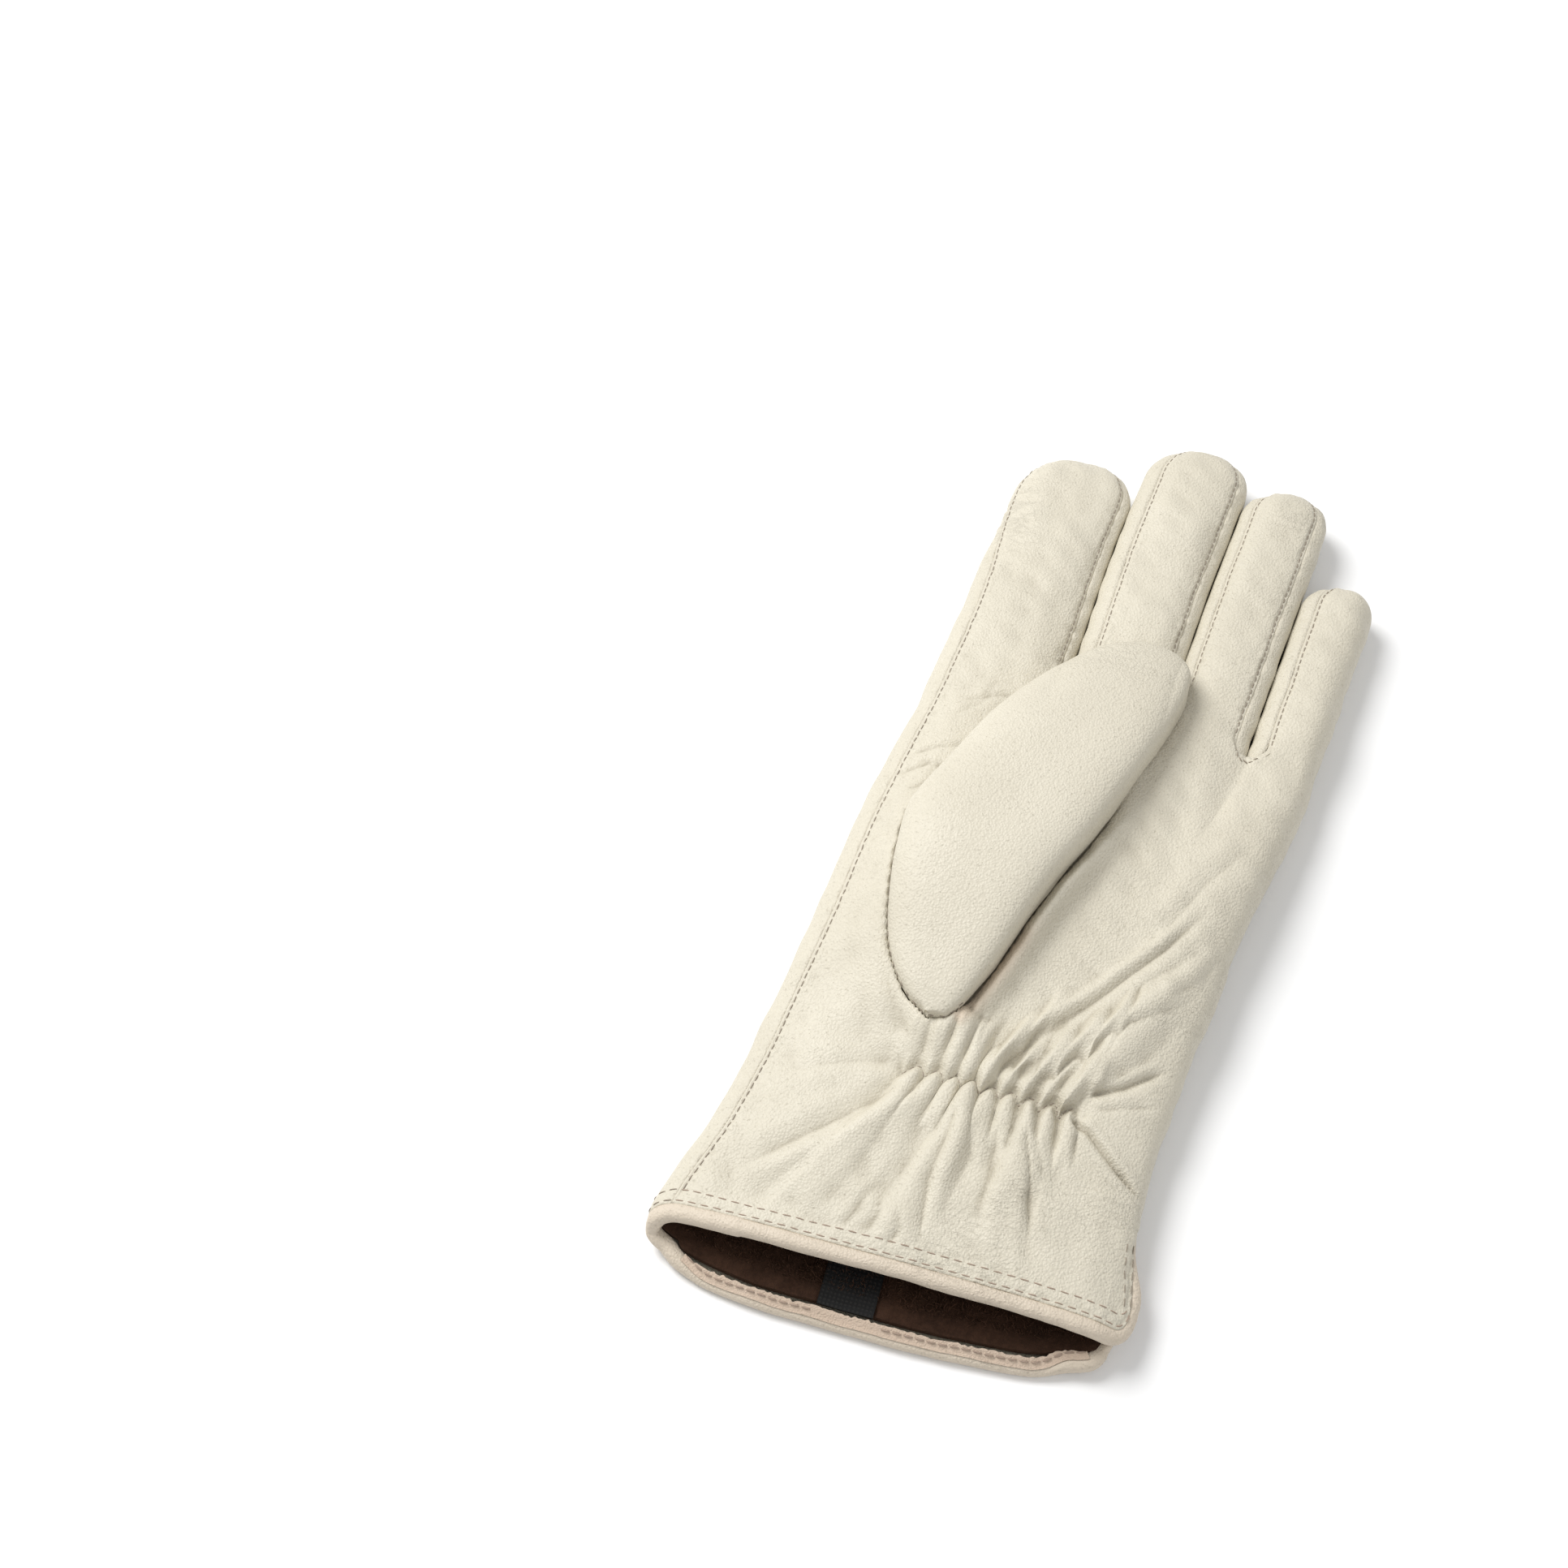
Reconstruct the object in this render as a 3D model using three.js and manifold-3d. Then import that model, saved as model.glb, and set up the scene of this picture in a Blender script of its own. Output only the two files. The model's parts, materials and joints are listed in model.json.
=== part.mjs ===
import * as THREE from "three";
import { mergeVertices } from "three/addons/utils/BufferGeometryUtils.js";
import Module from "manifold-3d";

// A lined leather glove for the left hand, lying palm up with its cuff towards -Y, its thumb over the palm.
// The skin is one closed hull that is cut into panels along the seams, and each panel is a wall under it.
// Lengths are in millimetres. Table entries are shares of the named sizes.

// Hand
const palmLength = 157;
const cuffWidth = 100;
const wristWidth = 90.5;
const palmLean = 21;
const palmHeight = 19.5;

// Fingers
const indexWidth = 31.5;
const middleWidth = 24.2;
const ringWidth = 20.4;
const littleWidth = 16.6;
const indexLength = 74;
const middleLength = 84;
const ringLength = 81;
const littleLength = 61;
const fingerHeight = 17.4;
const fingerLean = 0.1;
const fingerGap = 0.9;
const notchLength = 4;
const tipRoundness = 0.52;
const tipFullness = 0.8;
const wideningShare = 0.7;
const fingerTaper = 0.1;

// Thumb
const thumbLength = 116;
const thumbWidth = 37.5;
const thumbThickness = 12.5;
const thumbTurn = 16.2;
const thumbBaseAlong = 56;
const thumbBaseAcross = 46;
const thumbHoleLength = 46;
const thumbHoleWidth = 22;
const thumbHoleAlong = 35;
const thumbHoleAcross = 12.5;
const thumbSquareness = 0.85;
const thumbUnderShare = 0.3;
const thumbCrownShare = 0.7;
const thinnestThumb = 0.8;

// Leather, lining and the room between pieces
const leather = 1.3;
const liningThickness = 1.6;
const clearance = 0.3;
const liningGap = 0.65;

// Seams, measured in from the widest line of the edge that they follow
const indexSeamInset = 4.5;
const palmSeamInset = 4;
const littleSeamInset = 3;
const ventSeamInset = 0.05;
const backSeamInset = 3.4;
const flatShare = 1.5;

// Gathered wrist
const gatherAlong = 45;
const gatherSink = 1.6;
const gatherHalfLength = 4;
const foldHeight = 2.9;
const foldPuff = 0.35;
const sinkSpread = 1.6;
const fanCurve = 0.7;

// Cuff
const hemOverhang = 10;
const bindingWidth = 3.5;
const ventBindingWidth = 2;
const ventLength = 26;
const flapReach = 8.5;
const flapDrop = 32;
const backFlapReach = 3;
const cornerRadius = 4.5;
const liningDepth = 34;
const labelWidth = 12;
const labelLength = 15;
const labelThickness = 0.8;
const labelAcross = 45;
const labelHemShare = 0.45;

// Room for folds and finger valleys under the thumb, and how the binding narrows at the vent's top
const seatSpread = 4;
const foldAllowance = 0.9;
const foldHold = 10;
const foldRunOut = 18;
const ventNarrowLength = 5;
const ventWidenLength = 10;
const bindingSquareness = 1.12;

// Trim on the back
const braidWidth = 3.6;
const braidThickness = 1;
const braidPitch = 5.3;
const braidStart = 8;
const braidCurve = 1.3;
const braidSway = 0.08;
const braidHalfShare = 0.42;
const channelSlope = 1.4;
const tuckHalfWidth = 1.7;
const tuckGroove = 0.8;

const fingers = [
  { name: "index", width: indexWidth, length: indexLength, height: 1, tip: 0.94, power: 2.7 },
  { name: "middle", width: middleWidth, length: middleLength, height: 1, tip: 1.06, power: 2.5 },
  { name: "ring", width: ringWidth, length: ringLength, height: 0.96, tip: 1.05, power: 2.4 },
  { name: "little", width: littleWidth, length: littleLength, height: 0.88, tip: 1.04, power: 2.3 },
];

// Seam insets on the palm side of each finger; the little finger's right seam runs under its edge
const palmSeams = [
  { left: indexSeamInset, right: palmSeamInset * 0.5 },
  { left: palmSeamInset * 0.9, right: palmSeamInset * 0.55 },
  { left: palmSeamInset * 0.6, right: palmSeamInset * 0.7 },
  { left: palmSeamInset * 0.85 },
];

// How far each crotch stands from the cuff, as shares of palmLength
const crotches = [{ along: 1 }, { along: 1.02 }, { along: 0.936 }];

const knuckleWidth = fingers.reduce((sum, finger) => sum + finger.width, 0) + 3 * fingerGap;

// Outline and height of the lying hand from the cuff (0) to the knuckles (1)
const handTable = [
  { along: 0, lean: 0, cuff: 1, wrist: 0, knuckles: 0, height: 0.74 },
  { along: 0.17, lean: 0.15, cuff: 0.25, wrist: 0.75, knuckles: 0, height: 0.8 },
  { along: 0.29, lean: 0.25, cuff: 0, wrist: 1, knuckles: 0, height: 0.82 },
  { along: 0.48, lean: 0.43, cuff: 0, wrist: 0.95, knuckles: 0.05, height: 0.94 },
  { along: 0.67, lean: 0.61, cuff: 0, wrist: 0.5, knuckles: 0.5, height: 1 },
  { along: 0.83, lean: 0.81, cuff: 0, wrist: 0.2, knuckles: 0.8, height: 0.99 },
  { along: 1, lean: 1, cuff: 0, wrist: 0, knuckles: 1, height: 0.94 },
];

// Where the palm's column lines stand across it at the cuff and at the gathers; from the gathers they fan out
const columnTable = [
  { column: 0, cuff: 0, gathers: 0 },
  { column: 8, cuff: 0.19, gathers: 0.36 },
  { column: 16, cuff: 0.56, gathers: 0.56 },
  { column: 24, cuff: 0.86, gathers: 0.77 },
  { column: 26, cuff: 0.91, gathers: 0.82 },
  { column: 32, cuff: 1, gathers: 1 },
];

// Ridges of the gathers: height as a share of foldHeight, reach as shares of the way to cuff and knuckles
const foldTable = [
  { column: 9, height: 0.85, toCuff: 0.95, toFingers: 0.12 },
  { column: 11, height: 1, toCuff: 0.8, toFingers: 0.12 },
  { column: 13, height: 0.8, toCuff: 0.45, toFingers: 0.16 },
  { column: 15, height: 1, toCuff: 0.95, toFingers: 0.13 },
  { column: 17, height: 0.75, toCuff: 0.5, toFingers: 0.22 },
  { column: 19, height: 0.9, toCuff: 0.45, toFingers: 0.42 },
  { column: 21, height: 1, toCuff: 0.75, toFingers: 0.28 },
  { column: 23, height: 0.85, toCuff: 0.45, toFingers: 0.45 },
  { column: 25, height: 0.9, toCuff: 0.35, toFingers: 0.4 },
];

// Back hem: how far it juts past the palm hem across the cuff, as a share of hemOverhang
const backHemTable = [
  { across: 0, jut: 0.2 },
  { across: 0.1, jut: 0.75 },
  { across: 0.3, jut: 1 },
  { across: 0.55, jut: 1 },
  { across: 0.8, jut: 0.85 },
  { across: 1, jut: 0.45 },
];

// Rows of the thumb from its base (0) to its tip (1): reach to either side of its axis and how full it is
const thumbTable = [
  { along: 0, left: 0.03, right: 0, full: 0.3 },
  { along: 0.015, left: 0.15, right: 0.09, full: 0.36 },
  { along: 0.05, left: 0.31, right: 0.13, full: 0.5 },
  { along: 0.1, left: 0.45, right: 0.15, full: 0.64 },
  { along: 0.17, left: 0.58, right: 0.17, full: 0.78 },
  { along: 0.28, left: 0.73, right: 0.18, full: 0.93 },
  { along: 0.38, left: 0.81, right: 0.2, full: 1 },
  { along: 0.5, left: 0.77, right: 0.245, full: 1 },
  { along: 0.64, left: 0.72, right: 0.265, full: 0.97 },
  { along: 0.77, left: 0.62, right: 0.27, full: 0.9 },
  { along: 0.88, left: 0.48, right: 0.25, full: 0.78 },
  { along: 0.95, left: 0.32, right: 0.2, full: 0.62 },
  { along: 0.985, left: 0.18, right: 0.12, full: 0.46 },
  { along: 1, left: 0.04, right: 0.03, full: 0.3 },
];

// Rows of the skin, as shares of the way from hem to vent top, vent top to gathers and gathers to knuckles
const cuffShares = [0, 0.28, 0.56, 0.8];
const wristShares = [0, 0.4, 0.78];
const palmShares = [0, 0.035, 0.08, 0.16, 0.28, 0.44, 0.62, 0.8, 0.93, 1];
const fingerShares = [0.02, 0.07, 0.3, 0.55, 0.8, 1];
const tipSines = [0.5, 0.82, 0.96];

// Height of the widest line of an edge as a share of its section, and how full the underside is
const waistShare = 0.4;
const underFullness = 1.14;
const handPower = 3.4;
const tipFlat = 0.24;
const tipRoom = 3;
const blendLength = 34;
const sideInset = 3.5;
const wrapCells = 4;
const lastColumn = 32;
const columnsPerFinger = 8;
const firstGather = 8;
const lastGather = 26;

const smooth = (t) => {
  const s = Math.min(1, Math.max(0, t));
  return s * s * (3 - 2 * s);
};
const mix = (a, b, t) => a + (b - a) * t;

// Value of one named column of a table at a given place, on a smooth curve through its rows
function tableAt(table, key, place, placeKey = "along") {
  const last = table.length - 1;
  if (place <= table[0][placeKey]) return table[0][key];
  if (place >= table[last][placeKey]) return table[last][key];
  let i = 0;
  while (place > table[i + 1][placeKey]) i += 1;
  const slope = (a, b) => (table[b][key] - table[a][key]) / (table[b][placeKey] - table[a][placeKey]);
  const tangent = (k) => {
    if (k === 0 || k === last) return 0;
    const before = slope(k - 1, k);
    const after = slope(k, k + 1);
    return before * after <= 0 ? 0 : (2 * before * after) / (before + after);
  };
  const span = table[i + 1][placeKey] - table[i][placeKey];
  const t = (place - table[i][placeKey]) / span;
  const start = tangent(i) * span;
  const end = tangent(i + 1) * span;
  const rise = table[i + 1][key] - table[i][key];
  const bend = 3 * rise - 2 * start - end;
  return table[i][key] + t * start + t ** 2 * bend + t ** 3 * (start + end - 2 * rise);
}

// A ring is the closed section of the hand or of a finger across the glove at one distance from the cuff.

function handRing(y) {
  const along = Math.min(y, palmLength) / palmLength;
  const width = tableAt(handTable, "cuff", along) * cuffWidth
    + tableAt(handTable, "wrist", along) * wristWidth
    + tableAt(handTable, "knuckles", along) * knuckleWidth;
  const top = palmHeight * tableAt(handTable, "height", along);
  const centre = cuffWidth / 2 + palmLean * tableAt(handTable, "lean", along);
  return { centre, half: width / 2, top, waist: top * waistShare, power: handPower, scale: 1 };
}

const crotchY = (gap) => palmLength * crotches[gap].along;

// Distance from the cuff of the line where finger f starts, at a share across the finger
function fingerBase(f, share) {
  const left = crotchY(Math.max(0, f - 1));
  const right = crotchY(Math.min(2, f));
  return mix(left, right, smooth(share));
}

const fingerTip = (f) => fingerBase(f, 0.5) + fingers[f].length;
const tipLength = (f) => fingerWidthAt(f, fingerTip(f)) * tipRoundness;

function fingerWidthAt(f, y) {
  const share = smooth((y - fingerBase(f, 0.5)) / (fingers[f].length * wideningShare));
  return fingers[f].width * mix(1, fingers[f].tip, share);
}

function fingerRing(f, y) {
  let left = cuffWidth / 2 + palmLean - knuckleWidth / 2 + fingerLean * (y - palmLength);
  for (let g = 0; g < f; g += 1) left += fingerWidthAt(g, y) + fingerGap;
  const width = fingerWidthAt(f, y);
  const round = width * tipRoundness;
  const sine = Math.min(1, Math.max(0, (y - (fingerTip(f) - round)) / round));
  const scale = Math.sqrt(1 - sine * sine);
  const along = (y - fingerBase(f, 0.5)) / fingers[f].length;
  const fullTop = fingerHeight * fingers[f].height * (1 - fingerTaper * smooth(along));
  const waist = fullTop * waistShare;
  const top = waist + (fullTop - waist) * scale ** tipFullness;
  const half = (width / 2) * scale;
  return { centre: left + width / 2, half, top, waist, under: scale, power: fingers[f].power, scale };
}

const ringCurve = (ring, x) => {
  const u = Math.min(1, Math.abs((x - ring.centre) / ring.half));
  return (1 - u ** ring.power) ** (1 / ring.power);
};
const ringTop = (ring, x) => ring.waist + (ring.top - ring.waist) * ringCurve(ring, x);
const ringDepth = (ring) => ring.waist * underFullness * (ring.under ?? 1);
const ringBottom = (ring, x) => Math.max(0, ring.waist - ringDepth(ring) * ringCurve(ring, x));

// Angle above the widest line at which a ring has come in by an inset
const insetAngle = (ring, inset) => {
  const u = Math.max(0, (ring.half - inset * ring.scale) / ring.half);
  return Math.acos(u ** (ring.power / 2));
};

// Point on the outer edge of a ring, side -1 at the forefinger and 1 at the little finger
function ringSide(ring, side, angle) {
  const out = Math.cos(angle) ** (2 / ring.power);
  const up = Math.abs(Math.sin(angle)) ** (2 / ring.power);
  const above = ring.waist + (ring.top - ring.waist) * up;
  const below = Math.max(0, ring.waist - ringDepth(ring) * up);
  return { x: ring.centre + side * ring.half * out, z: angle > 0 ? above : below };
}

// Distance from the cuff of a row { zone, share } on a line that starts at hem and ends at base
function rowY(row, hem, base) {
  if (row.zone === 0) return mix(hem, ventLength, row.share);
  if (row.zone === 1) return mix(ventLength, gatherAlong, row.share);
  return mix(gatherAlong, base, row.share);
}

const handRows = [
  ...cuffShares.map((share) => ({ zone: 0, share })),
  ...wristShares.map((share) => ({ zone: 1, share })),
  ...palmShares.map((share) => ({ zone: 2, share })),
];
const ventRow = cuffShares.length;

// How open the vent is at a row: 0 at its top and above, 1 at the hem
const ventOpen = (row) => (row.zone === 0 ? smooth(1 - row.share) : 0);
const ventSlit = (row, strip) => {
  if (row.zone !== 0) return 0;
  const room = ventBindingWidth + 2 * clearance;
  const depth = Math.min(1, ((1 - row.share) * ventLength) / notchLength);
  return (room * Math.sqrt(1 - (1 - depth) ** 2)) / strip;
};

const palmHem = bindingWidth + clearance;

// Hem of the back's panel across the cuff, and round its corner at the vent
function backHem(across) {
  return palmHem - hemOverhang * tableAt(backHemTable, "jut", across, "across");
}
function cornerRise(distance) {
  const into = Math.min(cornerRadius, Math.max(0, cornerRadius - distance));
  return cornerRadius - Math.sqrt(cornerRadius ** 2 - into ** 2);
}

// Blend from the hand's ring to a finger's ring near the knuckles
const fingerBlend = (y, base) => smooth((y - (base - blendLength)) / blendLength);

// Outer edge of the glove at a distance from the cuff, from an inset on its top (1) or underside (-1)
function edgePoint(side, y, base, from, to, share) {
  const f = side < 0 ? 0 : 3;
  const blend = fingerBlend(y, base);
  const place = (ring) => {
    const start = from.level * insetAngle(ring, from.inset);
    const end = to.level * insetAngle(ring, to.inset);
    return ringSide(ring, side, mix(start, end, share));
  };
  const hand = place(handRing(y));
  const finger = place(fingerRing(f, y));
  return new THREE.Vector3(mix(hand.x, finger.x, blend), y, mix(hand.z, finger.z, blend));
}

// Seam line beside the little finger: under the edge of the hand, but on its side at the vent
function littleSeam(row) {
  const rise = row.zone === 0 ? 0 : smooth((row.zone - 1 + row.share) / 1.2);
  return { level: -1, inset: mix(ventSeamInset, littleSeamInset, rise) };
}

// The glove's outer edges on the palm side, where the wraps round to the back start
const indexEdge = { level: 1, inset: indexSeamInset };
const littleEdge = { level: 1, inset: sideInset };

// Height of the fold ridges on a palm column
function foldLift(column, y, base) {
  const away = Math.abs(y - gatherAlong);
  const inGathers = column >= firstGather && column <= lastGather;
  const sink = inGathers ? -gatherSink * (1 - smooth(away / (gatherHalfLength * sinkSpread))) : 0;
  const fold = foldTable.find((entry) => entry.column === column);
  if (!fold) return sink;
  const whole = y < gatherAlong ? fold.toCuff * gatherAlong : fold.toFingers * (base - gatherAlong);
  const fade = Math.max(0, 1 - away / whole);
  const puff = mix(foldPuff, 1, smooth(away / gatherHalfLength));
  return sink + foldHeight * fold.height * puff * fade;
}

// Palm skin below the knuckles; columns past the last one wrap round the little finger's edge
function palmPoint(column, row, folded = true) {
  const f = Math.min(3, Math.floor(column / columnsPerFinger));
  const share = Math.min(1, column / columnsPerFinger - f);
  const base = fingerBase(f, column >= lastColumn ? 1 : share);
  if (column > lastColumn) return palmEdgePoint((column - lastColumn) / wrapCells, row, base);
  const y = rowY(row, palmHem, base);
  const ring = handRing(y);
  const left = edgePoint(-1, y, base, indexEdge, indexEdge, 0);
  const right = edgePoint(1, y, base, littleEdge, littleEdge, 0);
  if (column === 0) return left;
  if (column === lastColumn) return right;
  const knuckle = knuckleShare(f, share, base);
  const cuff = tableAt(columnTable, "cuff", column, "column");
  const gathers = tableAt(columnTable, "gathers", column, "column");
  const above = row.zone === 2 ? row.share ** fanCurve : 0;
  const below = Math.max(0, (y - palmHem) / (gatherAlong - palmHem));
  const across = row.zone === 2 ? mix(gathers, knuckle, above) : mix(cuff, gathers, below);
  const x = mix(left.x, right.x, across);
  const blend = fingerBlend(y, base);
  const z = mix(ringTop(ring, x), fingerTopZ(f, y, share), blend);
  return new THREE.Vector3(x, y, z + (folded ? foldLift(column, y, base) : 0));
}

// The edge past the palm's last column: round to the seam, or flared out as a flap beside the vent
function palmEdgePoint(share, row, base) {
  const strip = flapReach;
  const hem = palmHem + cornerRise(strip * (1 - share));
  const y = rowY(row, hem, base);
  const reach = share * (1 - ventSlit(row, strip));
  const wrapped = edgePoint(1, y, base, littleEdge, littleSeam(row), reach);
  const flared = edgePoint(1, y, base, littleEdge, littleSeam(row), 0);
  const drop = THREE.MathUtils.degToRad(flapDrop);
  flared.x += strip * reach * Math.cos(drop);
  flared.z -= strip * reach * Math.sin(drop);
  return wrapped.lerp(flared, ventOpen(row));
}

// Share across the palm of a column at the knuckles, where the columns run on into the fingers
function knuckleShare(f, share, base) {
  const leftEdge = edgePoint(-1, base, base, indexEdge, indexEdge, 0).x;
  const rightEdge = edgePoint(1, base, base, littleEdge, littleEdge, 0).x;
  const left = f === 0 ? leftEdge : crotchX(f - 1);
  const right = f === 3 ? rightEdge : crotchX(f);
  return (mix(left, right, share) - leftEdge) / (rightEdge - leftEdge);
}

function crotchX(gap) {
  const ring = fingerRing(gap, crotchY(gap));
  return ring.centre + ring.half + fingerGap / 2;
}

// Seam insets of a finger on one face: level 1 for the palm's face, -1 for the back's
function seamInsets(f, level) {
  if (level > 0) return palmSeams[f];
  return { left: backSeamInset, right: backSeamInset };
}

function fingerSeamX(f, y, level, side) {
  const ring = fingerRing(f, y);
  const insets = seamInsets(f, level);
  const inset = (side < 0 ? insets.left : insets.right) * ring.scale;
  return ring.centre + side * (ring.half - inset);
}

// Height of a finger's palm face at a share across it; a crotch takes the mean of its two fingers
function fingerTopZ(f, y, share) {
  const own = (g, part) => {
    const ring = fingerRing(g, y);
    const left = g === 0 ? ring.centre - ring.half + indexSeamInset * ring.scale : fingerSeamX(g, y, 1, -1);
    const right = g === 3 ? ring.centre + ring.half - sideInset * ring.scale : fingerSeamX(g, y, 1, 1);
    return ringTop(ring, mix(left, right, part));
  };
  const here = own(f, share);
  if (share === 0 && f > 0) return (here + own(f - 1, 1)) / 2;
  if (share === 1 && f < 3) return (here + own(f + 1, 0)) / 2;
  return here;
}

// How far the sides of a notch have opened at a distance past its crotch
const notchOpen = (distance) => Math.sqrt(1 - (1 - Math.min(1, Math.max(0, distance / notchLength))) ** 2);

// Distance from the cuff of a finger row: a straight part, then a round tip
function fingerY(f, share, step) {
  const start = fingerTip(f) - tipLength(f);
  if (step < fingerShares.length) return mix(fingerBase(f, share), start, fingerShares[step]);
  return start + tipLength(f) * tipSines[step - fingerShares.length];
}
const fingerSteps = fingerShares.length + tipSines.length;

// Seam point of a finger, on its palm face (level 1) or back (-1), at its left (-1) or right (1)
function fingerSeamPoint(f, step, level, side) {
  const gap = side < 0 ? f - 1 : f;
  const y = fingerY(f, side < 0 ? 0 : 1, step);
  const ring = fingerRing(f, y);
  const x = fingerSeamX(f, y, level, side);
  const z = level > 0 ? ringTop(ring, x) : ringBottom(ring, x);
  return new THREE.Vector3(mix(crotchX(gap), x, notchOpen(y - crotchY(gap))), y, z);
}

// Palm face of a finger at a share across and a step along it
function palmFingerPoint(f, share, step) {
  const y = fingerY(f, share, step);
  const base = fingerBase(f, share);
  const ring = fingerRing(f, y);
  const edge = (side) => {
    if (side < 0 && f === 0) return edgePoint(-1, y, base, indexEdge, indexEdge, 0).x;
    if (side > 0 && f === 3) return edgePoint(1, y, base, littleEdge, littleEdge, 0).x;
    const gap = side < 0 ? f - 1 : f;
    return mix(crotchX(gap), fingerSeamX(f, y, 1, side), notchOpen(y - crotchY(gap)));
  };
  const full = (side) => {
    if (side < 0 && f === 0) return ring.centre - ring.half + indexSeamInset * ring.scale;
    if (side > 0 && f === 3) return ring.centre + ring.half - sideInset * ring.scale;
    return fingerSeamX(f, y, 1, side);
  };
  const z = ringTop(ring, mix(full(-1), full(1), share));
  return new THREE.Vector3(mix(edge(-1), edge(1), share), y, z);
}

// The short line across a fingertip where the palm and the back meet
function tipPoint(f, share) {
  const y = fingerTip(f);
  const ring = fingerRing(f, y - 0.001);
  const half = (fingerWidthAt(f, y) / 2) * tipFlat;
  return new THREE.Vector3(ring.centre + mix(-half, half, share), y, ring.waist);
}

// Columns of the back: some stand at a share across a finger, others keep their distance from a trim line
const backColumns = [
  [{ share: 0 }, { trim: -1, slope: -1 }, { trim: -1 }, { trim: 1 }, { trim: 1, slope: 1 }],
  [{ share: 0 }, { share: 0.42 }, { tuck: -2 }, { tuck: -1 }],
  [{ share: 0 }, { tuck: 1 }, { tuck: 2 }, { share: 0.58 }],
  [{ share: 0 }, { trim: -1, slope: -1 }, { trim: -1 }, { trim: 1 }, { trim: 1, slope: 1 }, { share: 1 }],
];
const backBounds = [
  { cuff: 0.07 },
  { cuff: 0.33 },
  { cuff: 0.49 },
  { cuff: 0.72 },
  { cuff: 0.95 },
];
const braidAcrossCuff = { index: 0.13, little: 0.83 };
const wrapHemShare = 0.06;
const backWrap = 4;
const backEdge = 2;

// Centre line of a braid: along the back from the cuff, then up the middle of its finger
function braidX(f, y) {
  const base = fingerBase(f, 0.5);
  const ring = handRing(y);
  const start = ring.centre - ring.half + 2 * ring.half * braidAcrossCuff[fingers[f].name];
  const along = Math.min(1, Math.max(0, (y - braidStart) / (base - braidStart)));
  return mix(start, fingerRing(f, y).centre, along ** braidCurve);
}

// A channel starts at the first row of the back past the braid's start
function channelStart(f) {
  const base = fingerBase(f, 0.5);
  const hem = backHem(braidAcrossCuff[fingers[f].name]);
  return handRows.map((row) => rowY(row, hem, base)).find((y) => y >= braidStart);
}
const braidEnd = (f) => fingerTip(f) - tipLength(f);

// Limits across the back of finger f's band at a distance from the cuff
function backBand(f, y, base) {
  const seam = (gap) => {
    const open = notchOpen(y - crotchY(gap));
    const side = gap === f ? 1 : -1;
    const knuckle = mix(crotchX(gap), fingerSeamX(f, y, -1, side), open);
    const ring = handRing(y);
    const cuff = ring.centre - ring.half + 2 * ring.half * backBounds[gap + 1].cuff;
    return mix(cuff, knuckle, Math.min(1, Math.max(0, y / crotchY(gap))));
  };
  const flat = (side, inset) => {
    const spot = { level: -1, inset };
    return edgePoint(side, y, base, spot, spot, 0).x;
  };
  return {
    left: f === 0 ? flat(-1, indexSeamInset * flatShare) : seam(f - 1),
    right: f === 3 ? flat(1, littleSeamInset * flatShare) : seam(f),
  };
}

// Underside skin of finger f's band at one of its columns
function backPoint(f, column, y, base) {
  const band = backBand(f, y, base);
  let x = mix(band.left, band.right, column.share ?? 0.5);
  let lift = 0;
  if (column.trim) {
    const half = braidWidth / 2 + clearance + (column.slope ? channelSlope : 0);
    x = braidX(f, y) + column.trim * half;
    const inside = y > channelStart(f) - clearance * 3 && y <= braidEnd(f) + clearance;
    lift = column.slope || !inside ? 0 : braidThickness + clearance;
  }
  if (column.tuck) {
    x = (column.tuck < 0 ? band.right : band.left) + column.tuck * tuckHalfWidth;
    const inside = y > ventLength && y < crotchY(1) - notchLength;
    lift = Math.abs(column.tuck) === 1 && inside ? tuckGroove : 0;
  }
  const hand = ringBottom(handRing(y), x);
  const ring = fingerRing(f, y);
  const inner = Math.min(ring.half - backSeamInset * ring.scale, Math.abs(x - ring.centre));
  const finger = ringBottom(ring, ring.centre + inner);
  return new THREE.Vector3(x, y, Math.max(lift, mix(hand, finger, fingerBlend(y, base))));
}

// Share across finger f's band at which a back column starts; up the finger the tuck's columns spread evenly
function backShare(f, column, k, spread) {
  if (column.share !== undefined) return column.share;
  if (column.trim) return 0.5 + 0.1 * column.trim;
  const near = (column.tuck * tuckHalfWidth) / fingers[f].width;
  return mix(column.tuck < 0 ? 1 + near : near, k / backColumns[f].length, spread);
}

// The outer edges on the underside, where the back lies flat
const indexUnder = { level: -1, inset: indexSeamInset * flatShare };
const littleUnder = { level: -1, inset: littleSeamInset * flatShare };

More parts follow.
